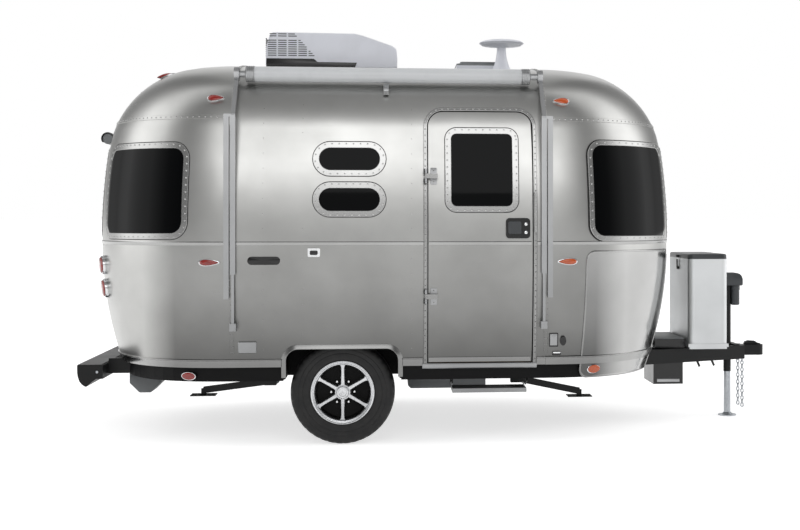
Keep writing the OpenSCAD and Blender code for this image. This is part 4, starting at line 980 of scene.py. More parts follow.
LEAF_RUN = (DOOR[0] + 0.004, DOOR[2] - 0.008)  # first and last X of the trims on the door leaf
belts = (("near_rear_belt", near_side, SEAM_REAR, DOOR[0] - FRAME_REACH, "body"),
         ("near_front_belt", near_side, DOOR[2] + FRAME_REACH, SEAM_FRONT, "body"),
         ("far_belt", far_side, SEAM_REAR, SEAM_FRONT, "body"),
         ("rear_belt", rear_end, -END_TAPE, END_TAPE, "body"),
         ("front_belt", front_end, -END_TAPE, END_TAPE, "body"),
         ("door_belt", near_side, *LEAF_RUN, "door"))
for name, surface, start, end, body in belts:
    level_run(name, surface, start, end, BELT, BELT_SECTION, bright_extrusion, body)
level_run("door_kick_trim", near_side, *LEAF_RUN, DOOR[1] + 0.018,
          [(-0.016, -0.002), (-0.016, 0.004), (0.014, 0.004), (0.017, 0.001), (0.017, -0.002)],
          bright_extrusion, "door")
kicks = (("near_rear_kick", near_side, SEAM_REAR, ARCH[0] - ARCH_EDGE),
         ("near_mid_kick", near_side, ARCH[2] + ARCH_EDGE, DOOR[0] - 0.037),
         ("near_front_kick", near_side, DOOR[2] + 0.035, SEAM_FRONT),
         ("far_rear_kick", far_side, SEAM_REAR, ARCH[0] - ARCH_EDGE),
         ("far_front_kick", far_side, ARCH[2] + ARCH_EDGE, SEAM_FRONT),
         ("rear_kick", rear_end, -END_TAPE, END_TAPE))
for name, surface, start, end in kicks:
    level_run(name, surface, start, end, KICK, KICK_SECTION, bright_extrusion, "body")
GUARD_LIFT = 0.0065  # on the front the trim runs over the stone guards
level_run("front_kick", front_end, -END_TAPE, END_TAPE, KICK,
          [(k, out + GUARD_LIFT) for k, out in KICK_SECTION], bright_extrusion, "body")
print("mouldings:", len(belts) + len(kicks) + 2)

# %% [markdown]
# Sheets meet under joint strips. One runs up the wall and over the roof at each end of the mid shell,
# with two rows of rivets, and one crosses each end cap, with one row. The ribs behind the sheets show
# only as rows of small rivets.
# %% Seams and ribs
STRIP_W = 0.014  # half the width of a joint strip
STRIP_OUT = 0.0025
STRIP_SECTION = flat_section(-STRIP_W, STRIP_W, STRIP_OUT, -0.001, 0.001)
SEAM_PITCH = 0.040  # between the rivets of a seam
CAP_SEAM_Z = 2.190
seam_heights = [z for z, _ in SIDE_ROWS if z > 0.59] + [z for z, _ in ROOF_ROWS[1:]]
for name, x in (("rear", SEAM_REAR), ("front", SEAM_FRONT)):
    for side, surface in (("near", near_side), ("far", far_side)):
        places = [(x, z, 1.0, 0.0) for z in seam_heights]
        strip = sharpen(piece_from(f"{name}_{side}_seam",
                                   *sweep(surface, places, STRIP_SECTION, closed=False),
                                   polished_sheet, "body"))
        for offset in (-0.008, 0.008):
            row = [(x + offset, z) for z in seam_heights]
            body_rivets += rivets_along(surface, row, SEAM_PITCH, STRIP_OUT, radius=0.0045, height=0.003)
for name, surface in (("rear", rear_end), ("front", front_end)):
    level_run(f"{name}_cap_seam", surface, -END_TAPE, END_TAPE, CAP_SEAM_Z, STRIP_SECTION, polished_sheet,
              "body", slot="skin")
    round_the_end = [(u, CAP_SEAM_Z) for u in np.linspace(-END_TAPE, END_TAPE, 40)]
    body_rivets += rivets_along(surface, round_the_end, SEAM_PITCH, STRIP_OUT, radius=0.0055)

RIBS = (-1.212, -0.955, -0.2355)
CLEAR_RIB = ((0.600, 2.300),)
RIB_OVER_WHEEL = ((0.700, 1.520), (2.040, 2.300))  # from above the arch, with a gap beside the ovals
for x in RIBS:
    spans = RIB_OVER_WHEEL if ARCH[0] < x < ARCH[2] else CLEAR_RIB
    for surface in (near_side, far_side):
        for z0, z1 in spans:
            body_rivets += rivets_along(surface, [(x, z0), (x, z1)], 0.100, radius=0.003, height=0.0012)
print("rivets on the body so far:", len(body_rivets))

# %% [markdown]
# Polished stone guards wrap the lower front corners, each in a half-round bead, and a flared trim
# goes round each wheel arch. The guard's front edge is sealed to the wall with a rubber strip.
# %% Stone guards and wheel arch trims
GUARD_TURNS = (-77.8, -24.2)
GUARD_Z = (0.442, 1.293)
GUARD_OUT = 0.0062
arch_section = [(0.0, -0.020), (0.0, 0.016), (0.003, 0.018), (0.008, 0.016), (0.026, 0.006), (0.031, 0.003),
                (0.031, -0.0005), (0.006, -0.0005)]
ARCH_TRIM_LOOP = loop_with_corners(ARCH[0], 0.459, ARCH[2], ARCH[3], 0.080, square_foot=True)
guards, trims = [], []
for side, sign, surface in (("near", 1, near_side), ("far", -1, far_side)):
    turns = sorted(sign * t for t in GUARD_TURNS)
    loop = end_loop(*turns, *GUARD_Z, 0.060)
    guard = piece_from(f"{side}_stone_guard", *sheet_on(front_end, loop, GUARD_OUT, 0.005, rings=12),
                       polished_guard, "body")
    shade_as_skin(guard)
    bead = sharpen(piece_from(f"{side}_guard_bead", *sweep(front_end, loop, bead_section(0.0, 0.009, 0.001)),
                              bright_extrusion, "body"))
    strip_u = tape_at(sign * GUARD_TURNS[1]) + sign * 0.016
    strip_places = [(strip_u, z, 1.0, 0.0) for z in np.linspace(0.56, 1.26, 16)]
    strip_section = flat_section(-0.006, 0.006, 0.008)
    strip = piece_from(f"{side}_guard_seal", *sweep(front_end, strip_places, strip_section, closed=False),
                       rubber_seal, "body")
    for piece, slot in ((guard, "skin"), (bead, "trim"), (strip, "latch")):
        guards.append(piece)
    trim = sharpen(piece_from(f"{side}_arch_trim",
                              *sweep(surface, ARCH_TRIM_LOOP, arch_section, closed=False),
                              bright_extrusion, "body"))
    trims.append(trim)
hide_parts("stone_guards")
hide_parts("wheel_arch_trims")
print("guards and trims:", len(guards) + len(trims))

# %% [markdown]
# More builders, for parts off the skin: a profile turned round an axis, rings of a loop stacked into
# a dome, and a bevel on sharp edges, since no moulded or pressed part has a knife edge and a bevel
# is what catches the light.
# %% Turned and stacked shapes
def turned(profile, place, segments=48, notch=None):
    """A closed profile of (along, radius) turned round; place(along, radius, angle) gives a point."""
    points = []
    for i in range(segments):
        angle = 2 * math.pi * i / segments
        points += [place(w, r - (notch(i, w, r) if notch else 0.0), angle) for w, r in profile]
    m = len(profile)
    faces = []
    for i in range(segments):
        faces += ring_band(i * m, (i + 1) % segments * m, m)
    return points, faces


def stacked(surface, loop, levels):
    """Rings of a loop at (share, out) levels, closed at the back by a face and in front by a crown."""
    us, zs = [p[0] for p in loop], [p[1] for p in loop]
    cu, cz = (min(us) + max(us)) / 2, (min(zs) + max(zs)) / 2
    n = len(loop)
    points = [surface(cu + (u - cu) * share, cz + (z - cz) * share, out)
              for share, out in levels for u, z in zip(us, zs)]
    points.append(surface(cu, cz, levels[-1][1]))
    faces = [tuple(range(n))]
    for k in range(len(levels) - 1):
        faces += ring_band(k * n, (k + 1) * n, n)
    last = (len(levels) - 1) * n
    return points, faces + [(last + i, last + (i + 1) % n, last + n) for i in range(n)]


def bevelled(piece, width, segments=2, degrees=30):
    """Rounds every edge sharper than this."""
    work = bmesh.new()
    work.from_mesh(piece.data)
    sharp = [edge for edge in work.edges if len(edge.link_faces) == 2
             and edge.calc_face_angle(0) > math.radians(degrees)]
    bmesh.ops.bevel(work, geom=sharp, offset=width, segments=segments, affect="EDGES", profile=0.5,
                    clamp_overlap=True)
    work.to_mesh(piece.data)
    work.free()
    for face in piece.data.polygons:
        face.use_smooth = True
    return sharpen(piece, 28)


def box_shape(x0, x1, y0, y1, z0, z1):
    """A box between these faces."""
    points = [Vector((x, y, z)) for z in (z0, z1) for x, y in ((x0, y0), (x1, y0), (x1, y1), (x0, y1))]
    return points, [(3, 2, 1, 0), (4, 5, 6, 7), (0, 1, 5, 4), (1, 2, 6, 5), (2, 3, 7, 6), (3, 0, 4, 7)]


def made(name, shape, material, body, bevel=0.0):
    """A piece with its finish and, if asked, soft edges."""
    piece = piece_from(name, *shape, material, body)
    return bevelled(piece, bevel) if bevel else sharpen(piece, 32)


print("a box has", len(box_shape(0, 1, 0, 1, 0, 1)[1]), "faces")

# %% [markdown]
# A trailer tyre is a closed ring: bead, bulging sidewall with moulded rings, shoulder, and a tread
# with four grooves and blocks along its shoulders. It is turned from one profile, and the blocks
# come from lowering the shoulder at every fourth step of the turn.
# %% Tyres
WHEEL_X, WHEEL_Y = -0.695, 0.9825
TYRE_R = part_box("near_tyre")[1].z / 2
# half width and radius, from the bead over the sidewall and the shoulder to the middle of the tread
half_profile = [(0.090, 0.190), (0.101, 0.197), (0.1065, 0.214), (0.1045, 0.217), (0.1070, 0.221),
                (0.1075, 0.245), (0.1070, 0.262), (0.1050, 0.264), (0.1068, 0.268), (0.1050, 0.292),
                (0.1030, 0.294), (0.1040, 0.298), (0.1000, 0.318), (0.0960, 0.330), (0.0890, 0.3400),
                (0.0780, 0.3455), (0.0560, 0.3480), (0.0550, 0.3400), (0.0490, 0.3400), (0.0480, 0.3486),
                (0.0220, 0.3498), (0.0210, 0.3415), (0.0150, 0.3415), (0.0140, 0.3500)]
tyre_profile = half_profile + [(-w, r) for w, r in reversed(half_profile)]
SHOULDER = (0.06, 0.325)  # the shoulder lies beyond this half width and this radius


def shoulder_notch(i, w, r):
    """How far the shoulder is lowered between two tread blocks."""
    return 0.006 if i % 4 == 0 and abs(w) > SHOULDER[0] and r > SHOULDER[1] else 0.0


def wheel_place(side):
    """Places on a wheel: along its axle outward, out from its centre, and round it."""
    return lambda w, r, angle: Vector((WHEEL_X + r * math.cos(angle), side * (WHEEL_Y + w),
                                       TYRE_R + r * math.sin(angle)))


for name, side in (("near", -1), ("far", 1)):
    tyre = made(f"{name}_tyre_rubber", turned(tyre_profile, wheel_place(side), 160, shoulder_notch),
                tread_rubber, f"{name}_wheel")
    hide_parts(f"{name}_tyre")
    print(tyre.name, len(tyre.data.polygons), "faces")

# %% [markdown]
# The wheel is a cast alloy one: a bright double lip, six narrow machined spokes and a raised hub
# cap. Behind the spokes a black disc closes the pockets: black paint, and painted shade for the dark
# inside of the wheel. Spokes are swept from the hub outward and widen where they meet the rim, which
# is how a casting avoids a weak corner.
# %% Rims
# each profile holds places along the axle, from the wheel's middle outward, and radii
LIP = [(-0.095, 0.184), (-0.095, 0.200), (-0.086, 0.200), (-0.080, 0.1895), (0.086, 0.1895),
       (0.095, 0.2080), (0.1085, 0.2130), (0.1110, 0.2115), (0.1112, 0.2080), (0.1070, 0.2040),
       (0.1050, 0.1985), (0.1075, 0.1950), (0.1060, 0.1900), (0.1000, 0.1850), (0.0880, 0.1815),
       (0.0600, 0.1790), (-0.080, 0.1790)]
POCKET = [(0.024, 0.032), (0.024, 0.1785), (0.086, 0.1795), (0.084, 0.1770), (0.036, 0.1720),
          (0.030, 0.1600), (0.030, 0.032)]
HUB = [(0.020, 0.0305), (0.020, 0.058), (0.070, 0.056), (0.078, 0.050), (0.079, 0.0435), (0.099, 0.0420),
       (0.1035, 0.038), (0.1045, 0.033), (0.1040, 0.027), (0.0990, 0.0250), (0.0980, 0.001), (0.080, 0.001)]
NUT = [(0.028, 0.0005), (0.028, 0.0105), (0.052, 0.0100), (0.058, 0.0070), (0.060, 0.0005)]
SPOKES, LUG_CIRCLE = 6, 0.0778
SPOKE_STEP = 360 / SPOKES
# radius, half width and height of the spoke's face at stations from the hub to the rim
SPOKE_STATIONS = ((0.036, 0.0150, 0.0790), (0.060, 0.0125, 0.0800), (0.120, 0.0105, 0.0840),
                  (0.160, 0.0108, 0.0880), (0.176, 0.0140, 0.0905), (0.184, 0.0240, 0.0915))
SPOKE_BACK, SPOKE_EDGE, SPOKE_DRAFT = 0.028, 0.003, 0.004


def spoke(angle):
    """One spoke as a swept section, pointing outward at this angle."""
    points, faces = [], []
    for r, half, front in SPOKE_STATIONS:
        section = ((-half, front - SPOKE_EDGE), (-half + SPOKE_EDGE, front), (half - SPOKE_EDGE, front),
                   (half, front - SPOKE_EDGE), (half + SPOKE_DRAFT, SPOKE_BACK),
                   (-half - SPOKE_DRAFT, SPOKE_BACK))
        points += [(w, r, across, angle) for across, w in section]
    m, last = len(section), (len(SPOKE_STATIONS) - 1) * len(section)
    for start in range(0, last, m):
        faces += ring_band(start, start + m, m)
    return points, faces + [tuple(range(m)), tuple(reversed(range(last, last + m)))]


for name, side in (("near", -1), ("far", 1)):
    place = wheel_place(side)
    body = f"{name}_wheel"
    shapes = [turned(LIP, place, 96), turned(HUB, place, 48)]
    for i in range(SPOKES):
        points, faces = spoke(math.radians(SPOKE_STEP * (i + 0.5)))
        shapes.append(([place(w, math.hypot(r, across), a + math.atan2(across, r))
                        for w, r, across, a in points], faces))
    rim = made(f"{name}_alloy_rim", merged(shapes), machined_alloy, body)
    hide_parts(f"{name}_rim")
    # a black disc behind the spokes: painted shade for the wheel's dark inside, in black paint
    made(f"{name}_rim_pockets", turned(POCKET, place, 64), pocket_paint_and_shade, body)
    nuts = []
    for i in range(SPOKES):
        a = math.radians(SPOKE_STEP * i)
        cx, cz = WHEEL_X + LUG_CIRCLE * math.cos(a), TYRE_R + LUG_CIRCLE * math.sin(a)
        nuts.append(turned(NUT, lambda w, r, t: Vector((cx + r * math.cos(t), side * (WHEEL_Y + w),
                                                        cz + r * math.sin(t))), 6))
    made(f"{name}_lug_nuts", merged(nuts), chrome_plate, body)
    print(rim.name, len(rim.data.polygons), "faces")

# %% [markdown]
# The roof carries an air conditioner under a pale moulded shroud: slats over its intake at the rear
# half, a dark band along its foot and a long sloping nose. The side profile is pushed across the
# roof and its edges are rounded, like the vacuum-formed cover that it is.
# %% Roof air conditioner
cooler_low, cooler_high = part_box("air_conditioner")
COOLER_Y = cooler_high.y
cx0, cx1, top = cooler_low.x, cooler_high.x, cooler_high.z
cooler_outline = [(cx0, ROOF - 0.020), (cx0 + 0.004, ROOF + 0.130), (cx0 + 0.034, top - 0.004),
                  (cx0 + 0.070, top), (cx0 + 0.640, top - 0.004), (cx0 + 0.700, top - 0.018),
                  (cx0 + 0.905, top - 0.088), (cx0 + 0.940, top - 0.108), (cx1, ROOF + 0.060),
                  (cx1, ROOF - 0.020)]


def across_y(x, z, y):
    """Places for an outline that is pushed across the body."""
    return Vector((x, y, z))


shroud = made("cooler_shroud", extruded(cooler_outline, across_y, -COOLER_Y, COOLER_Y), pale_moulding, "body",
              bevel=0.020)
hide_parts("air_conditioner")
SLAT_PITCH, SLAT_COLUMN, SLAT_H = 0.0155, 0.0725, 0.0065
SLAT_FOOT = ROOF + 0.062
SLAT_START = cx0 + 0.018
SLAT_GAP = 0.012  # between two columns of slats
PLAIN_ROW = 8  # the moulding's fold takes the place of this row
slats = []
for side in (-1, 1):
    y0, y1 = sorted((side * (COOLER_Y - 0.004), side * (COOLER_Y + 0.0012)))
    for row in range(11):
        if row == PLAIN_ROW:
            continue
        z = SLAT_FOOT + row * SLAT_PITCH
        row_end = cx0 + 0.350 - row * 0.0140
        for column in range(5):
            x0 = SLAT_START + column * SLAT_COLUMN + (SLAT_GAP if row > PLAIN_ROW and column == 0 else 0)
            x1 = min(SLAT_START + (column + 1) * SLAT_COLUMN - SLAT_GAP, row_end)
            if x1 - x0 > 0.008:
                slats.append(box_shape(x0, x1, y0, y1, z, z + SLAT_H))
for row in range(9):  # the slats run on round the rear face
    z = SLAT_FOOT + row * SLAT_PITCH
    for column in range(8):
        y = -COOLER_Y + 0.040 + column * 0.080
        slats.append(box_shape(cx0 - 0.0015, cx0 + 0.006, y, y + 0.066, z, z + SLAT_H))
made("cooler_slats", merged(slats), charcoal_moulding, "body")
band = [(cx0 + 0.006, ROOF - 0.020), (cx0 + 0.006, ROOF + 0.043), (cx0 + 0.345, ROOF + 0.043),
        (cx0 + 0.372, ROOF + 0.020), (cx0 + 0.655, ROOF + 0.018), (cx0 + 0.640, ROOF - 0.020)]
made("cooler_foot_band", extruded(band, across_y, -COOLER_Y - 0.004, COOLER_Y + 0.004), black_moulding,
     "body", bevel=0.002)
print("air conditioner slats:", len(slats))

# %% [markdown]
# The awning is rolled up on a tube over the door side. The outermost turn of the roll is a pale
# enamelled guard that keeps the weather off the cloth, so it reads as a smooth tube with one long
# step where the guard's edge lies. Ribbed cast caps close the ends.
# %% Awning roller
roll_low, roll_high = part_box("awning_roller")
ROLL_Y, ROLL_Z = (roll_low.y + roll_high.y) / 2, (roll_low.z + roll_high.z) / 2
ROLL_R = (roll_high.z - roll_low.z) / 2
HEM_FROM, HEM_TO, HEM_DEPTH = 18, 26, 0.0025  # of 48 steps round the roll


def roller_place(x, r, angle):
    """Places round the roll's own axis."""
    return Vector((x, ROLL_Y + r * math.cos(angle), ROLL_Z + r * math.sin(angle)))


def hem_step(i, w, r):
    """The guard's loose edge leaves a small step along the roll."""
    return HEM_DEPTH if HEM_FROM <= i <= HEM_TO and r > 0.045 else 0.0


x0, x1 = roll_low.x, roll_high.x
CAP_REACH = 0.050  # how far the end caps reach over the roll
GUARD_R = ROLL_R - 0.003
roll_profile = [(x0 + CAP_REACH, 0.010), (x0 + CAP_REACH, GUARD_R),
                *((x, GUARD_R) for x in np.linspace(x0 + 0.1, x1 - 0.1, 12)),
                (x1 - CAP_REACH, GUARD_R), (x1 - CAP_REACH, 0.010)]
roll = made("awning_cloth_roll", turned(roll_profile, roller_place, 48, hem_step), awning_case,
            "body")
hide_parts("awning_roller")
caps = []
for start, step in ((x0, 1), (x1, -1)):
    profile = [(start, 0.008), (start, ROLL_R - 0.010), (start + step * 0.004, ROLL_R - 0.002)]
    for rib in range(4):
        at = start + step * (0.010 + rib * 0.012)
        profile += [(at, ROLL_R), (at + step * 0.006, ROLL_R), (at + step * 0.007, ROLL_R - 0.003),
                    (at + step * 0.010, ROLL_R - 0.003)]
    profile += [(start + step * 0.060, ROLL_R), (start + step * 0.062, 0.008)]
    caps.append(turned(profile, roller_place, 48))
made("awning_end_caps", merged(caps), satin_extrusion, "body")
SUPPORT_X = -0.405
support = [(-1.072, 2.367), (-1.087, 2.375), (-1.080, 2.395), (-1.057, 2.410), (-1.042, 2.425),
           (-0.997, 2.430), (-0.997, 2.395), (-1.052, 2.350)]


def along_x(y, z, x):
    """Places for an outline that is pushed along the body."""
    return Vector((x, y, z))


hook = extruded(support, along_x, SUPPORT_X - 0.018, SUPPORT_X + 0.018)
made("awning_support_hook", hook, satin_extrusion, "body", bevel=0.002)
print("awning roll:", round(x1 - x0, 3), "m")

# %% [markdown]
# Marker lamps are teardrops: a chromed base bent to the skin with a domed lens on it, red at the
# rear and amber at the front. The tail lamps are round, in deep chromed housings, and low oval
# lamps sit in the skirt.
# %% Lamps
BASE_LEVELS = [(1.0, -0.003), (1.0, 0.005), (0.97, 0.0085), (0.90, 0.0095)]
LENS_LEVELS = [(0.86, 0.004), (0.84, 0.016), (0.74, 0.0215), (0.52, 0.0245), (0.26, 0.0255)]
TAIL_LEVELS = [(1.0, -0.006), (1.0, 0.020), (0.96, 0.026), (0.88, 0.027)]
TAIL_LENS = [(0.86, 0.010), (0.84, 0.031), (0.72, 0.036), (0.40, 0.038)]
chrome_parts, red_parts, amber_parts = [], [], []


def teardrop(u, z, length, height, tip):
    """Outline of a teardrop whose point looks along tip."""
    loop = []
    for a in range(0, 360, 12):
        c, s = math.cos(math.radians(a)), math.sin(math.radians(a))
        loop.append((u - tip * length / 2 * c, z + height / 2 * s * (0.72 + 0.28 * c), 0, 0))
    return loop


def oval(u, z, length, height):
    """Outline of an ellipse."""
    return [(u + length / 2 * math.cos(math.radians(a)), z + height / 2 * math.sin(math.radians(a)), 0, 0)
            for a in range(0, 360, 12)]


def tape_of(y, z):
    """Tape length on an end where the skin lies this far from the middle."""
    turn = math.asin((abs(y) / float(side_half(z))) ** (SQUARENESS / 2))
    return tape_at(math.degrees(turn)) * (1 if y > 0 else -1)


MARKER_HEIGHTS = (1.228, 2.321)
MARKER_TAPE = END_TAPE - 0.141
for surface, lenses in ((rear_end, red_parts), (front_end, amber_parts)):
    for side in (-1, 1):
        for z in MARKER_HEIGHTS:
            drop = teardrop(side * MARKER_TAPE, z, 0.142, 0.062, side)
            chrome_parts.append(stacked(surface, drop, BASE_LEVELS))
            lenses.append(stacked(surface, drop, LENS_LEVELS))
TAIL_Y, TAIL_HEIGHTS, TAIL_SIZE = 0.620, (1.035, 1.195), 0.132
for y in (-TAIL_Y, TAIL_Y):
    for z in TAIL_HEIGHTS:
        ring = oval(tape_of(y, z), z, TAIL_SIZE, TAIL_SIZE)
        chrome_parts.append(stacked(rear_end, ring, TAIL_LEVELS))
        red_parts.append(stacked(rear_end, ring, TAIL_LENS))
for side in (-1, 1):
    low_red = oval(side * tape_at(74.6), 0.474, 0.120, 0.056)
    low_amber = oval(side * tape_at(71.6), 0.492, 0.115, 0.062)
    chrome_parts += [stacked(rear_end, low_red, BASE_LEVELS[:3]),
                     stacked(front_end, low_amber, [(1.0, 0.004), (1.0, 0.009), (0.92, 0.012)])]
    red_parts.append(stacked(rear_end, low_red, [(0.88, 0.004), (0.86, 0.011), (0.5, 0.015)]))
    amber_parts.append(stacked(front_end, low_amber, [(0.9, 0.006), (0.88, 0.015), (0.5, 0.019)]))
print("lamps on the walls and the skirt:", len(red_parts) + len(amber_parts))

# %% [markdown]
# Three red lamps stand high on the crown of the rear end. How far back the middle one stands is known,
# and the crown's curve gives the height there.
# %% Crown lamps
def height_for(reach):
    """Height on the crown of an end shell that reaches this far past its seam."""
    heights = np.linspace(END_SHOULDER, ROOF - 0.002, 400)
    return float(np.interp(-reach, -end_half(heights), heights))


ROOF_LAMP = (height_for(0.665), height_for(0.540))
roof_lamp = oval(0.0, sum(ROOF_LAMP) / 2, 0.070, ROOF_LAMP[1] - ROOF_LAMP[0])
chrome_parts.append(stacked(rear_end, roof_lamp, BASE_LEVELS))
red_parts.append(stacked(rear_end, roof_lamp, LENS_LEVELS))
WING_LAMP_Y, WING_LAMP_Z = 0.42, 2.530
for side in (-1, 1):
    wing_lamp = oval(tape_of(side * WING_LAMP_Y, WING_LAMP_Z), WING_LAMP_Z, 0.078, 0.050)
    chrome_parts.append(stacked(rear_end, wing_lamp, BASE_LEVELS))
    red_parts.append(stacked(rear_end, wing_lamp, LENS_LEVELS))
housings = made("lamp_housings", merged(chrome_parts), chrome_plate, "body")
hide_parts("lamps")
made("red_lenses", merged(red_parts), red_lens, "body")
made("amber_lenses", merged(amber_parts), amber_lens, "body")
print("all lamps:", len(red_parts) + len(amber_parts))

# %% [markdown]
# The door hangs on two hinges with thick pins, their knuckles shared between frame and leaf. The
# leaf's part is already there in its true shape; the frame's knuckles are turned here, each on an
# arm that reaches back to the frame. The latch is a black paddle in a round-cornered plate.
# %% Hinge knuckles, plates and latch
HINGE_HEIGHTS = (0.998, 1.799)
KNUCKLE_R, KNUCKLE_H = 0.008, 0.032
KNUCKLE_EDGE, KNUCKLE_GAP = 0.0012, 0.0002  # the eased edge, and the running gap at each end
PIN_CORE = 0.0005


def hinge_place(h, r, t):
    """Places round the door's hinge line."""
    return Vector((HINGE[0] + r * math.cos(t), HINGE[1] + r * math.sin(t), h))


knuckles = []
for z in HINGE_HEIGHTS:
    for up in (-1, 1):
        middle = z + up * KNUCKLE_H
        low, high = middle - KNUCKLE_H / 2 + KNUCKLE_GAP, middle + KNUCKLE_H / 2 - KNUCKLE_GAP
        profile = [(low, PIN_CORE), (low, KNUCKLE_R - KNUCKLE_EDGE), (low + KNUCKLE_EDGE, KNUCKLE_R),
                   (high - KNUCKLE_EDGE, KNUCKLE_R), (high, KNUCKLE_R - KNUCKLE_EDGE), (high, PIN_CORE)]
        knuckles.append(turned(profile, hinge_place, 20))
        knuckles.append(box_shape(HINGE[0] - 0.016, HINGE[0], HINGE[1] - 0.004, HINGE[1] + 0.004, low, high))
        knuckles.append(box_shape(HINGE[0] - 0.016, HINGE[0] - 0.009, HINGE[1] - 0.004,
                                  -float(side_half(middle)) - 0.004, low, high))
made("frame_hinge_knuckles", merged(knuckles), satin_extrusion, "body")
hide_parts("door_frame")
PLATE_X, PLATE_HALF_W, PLATE_HALF_H, PLATE_OUT = -0.090, 0.022, 0.056, 0.006
plates = []
for z in HINGE_HEIGHTS:
    plate = loop_with_corners(PLATE_X - PLATE_HALF_W, z - PLATE_HALF_H, PLATE_X + PLATE_HALF_W,
                              z + PLATE_HALF_H, 0.006)
    plates.append(stacked(near_side, plate, [(1.0, -0.001), (1.0, 0.0045), (0.96, PLATE_OUT)]))
    for rivet_z in (z - 0.040, z + 0.040):
        door_rivets.append(rivet(near_side(PLATE_X, rivet_z, PLATE_OUT), outward(near_side, PLATE_X, rivet_z),
                                 radius=0.005))
made("door_hinge_plates", merged(plates), satin_extrusion, "door")
latch_low, latch_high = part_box("door_latch")
paddle = stacked(near_side, loop_with_corners(latch_low.x + 0.016, latch_low.z + 0.030, latch_low.x + 0.104,
                                              latch_high.z - 0.022, 0.012),
                 [(1.0, 0.012), (1.0, 0.0165), (0.93, 0.0190)])
made("latch_paddle", paddle, charcoal_moulding, "door")
STUD_LEVELS = [(1.0, 0.012), (1.0, 0.0175), (0.7, 0.0195)]
studs = [stacked(near_side, oval(latch_low.x + 0.134, z, 0.022, 0.022), STUD_LEVELS)
         for z in (latch_low.z + 0.040, latch_high.z - 0.040)]
made("latch_studs", merged(studs), chrome_plate, "door")
print("frame knuckles:", 2 * len(HINGE_HEIGHTS), "plates:", len(plates), "studs:", len(studs))

# %% [markdown]
# Small fittings on the door side: a blank name bar, a key lock, a cover over an outlet, a blank
# framed plate, a port and a step light. Each is a little stack of rings on the skin.
# %% Small fittings on the near side
fittings = (  # name, outline, rings at (share of the outline, out), finish, slot
    ("name_bar", loop_with_corners(-1.310, 1.212, -1.098, 1.266, 0.0265),
     [(1.0, -0.001), (1.0, 0.004), (0.97, 0.0055)], black_moulding, "latch"),
    ("lock_plate", loop_with_corners(-0.920, 1.262, -0.838, 1.322, 0.012),
     [(1.0, -0.001), (1.0, 0.005), (0.95, 0.007)], chrome_plate, "trim"),
    ("lock_face", loop_with_corners(-0.905, 1.276, -0.853, 1.306, 0.010),
     [(1.0, 0.004), (1.0, 0.0085), (0.9, 0.0095)], black_moulding, "latch"),
    ("outlet_cover", loop_with_corners(-1.375, 0.628, -1.255, 0.704, 0.010),
     [(1.0, -0.001), (1.0, 0.008), (0.93, 0.012)], satin_extrusion, "trim"),
    ("plate_frame", loop_with_corners(0.6865, 0.652, 0.749, 0.746, 0.006),
     [(1.0, -0.001), (1.0, 0.004), (0.95, 0.005)], black_moulding, "latch"),
    ("plate_face", loop_with_corners(0.694, 0.662, 0.7415, 0.739, 0.004),
     [(1.0, 0.004), (1.0, 0.0062), (0.97, 0.0068)], satin_extrusion, "trim"),
    ("cable_port", oval(0.7825, 0.6935, 0.043, 0.067),
     [(1.0, -0.001), (1.0, 0.006), (0.82, 0.010), (0.5, 0.0105)], black_moulding, "latch"),
    ("step_light", loop_with_corners(0.710, 0.594, 0.768, 0.619, 0.006),
     [(1.0, -0.001), (1.0, 0.006), (0.9, 0.010)], black_moulding, "latch"),
    ("step_light_hood", loop_with_corners(0.714, 0.608, 0.764, 0.618, 0.004),
     [(1.0, 0.006), (1.0, 0.012), (0.9, 0.014)], chrome_plate, "trim"),
)
for name, outline, levels, finish, slot in fittings:
    made(name, stacked(near_side, outline, levels), finish, "body")
print("small fittings:", len(fittings))

# %% [markdown]
# Two small things stand on the crown of the rear end: a whip aerial, and the rear-view camera, a
# short drum under a black hood. The drum's axis lies across the body.
# %% Rear aerial and camera
AERIAL_X = -2.210
aerial_z = height_for(SEAM_REAR - AERIAL_X)


def upright_at(x, y):
    """Places round an upright axis."""
    return lambda h, r, t: Vector((x + r * math.cos(t), y + r * math.sin(t), h))


aerial_profile = [(-0.006, 0.0005), (-0.006, 0.011), (0.010, 0.008), (0.014, 0.0026), (0.074, 0.0018),
                  (0.076, 0.0005)]  # above the crown, and from the axis
aerial = turned([(aerial_z + h, r) for h, r in aerial_profile], upright_at(AERIAL_X, 0.0), 16)
made("whip_aerial", aerial, black_moulding, "body")
CAMERA_X, CAMERA_Z, DRUM_R = -2.440, 2.104, 0.040


def drum_place(y, r, angle):
    """Places round the camera's drum."""
    return Vector((CAMERA_X + r * math.cos(angle), y, CAMERA_Z + r * math.sin(angle)))


drum_profile = [(-0.052, 0.0005), (-0.052, DRUM_R - 0.006), (-0.046, DRUM_R), (0.046, DRUM_R),
                (0.052, DRUM_R - 0.006), (0.052, 0.0005)]
drum = turned(drum_profile, drum_place, 40)
eye = made("camera_drum", drum, grey_moulding, "body")
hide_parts("rear_camera")
hood_arc = [math.radians(a) for a in range(15, 216, 10)]
hood = ([drum_place(0, DRUM_R + 0.007, a) for a in hood_arc]
        + [drum_place(0, DRUM_R + 0.0015, a) for a in reversed(hood_arc)])
made("camera_hood", extruded([(v.x, v.z) for v in hood], across_y, -0.060, 0.060), black_moulding,
     "body", bevel=0.0012)
foot = box_shape(CAMERA_X + 0.018, CAMERA_X + 0.095, -0.030, 0.030, CAMERA_Z - 0.040, CAMERA_Z + 0.012)
made("camera_foot", foot, black_moulding, "body", bevel=0.004)
print("camera at", CAMERA_X, CAMERA_Z)

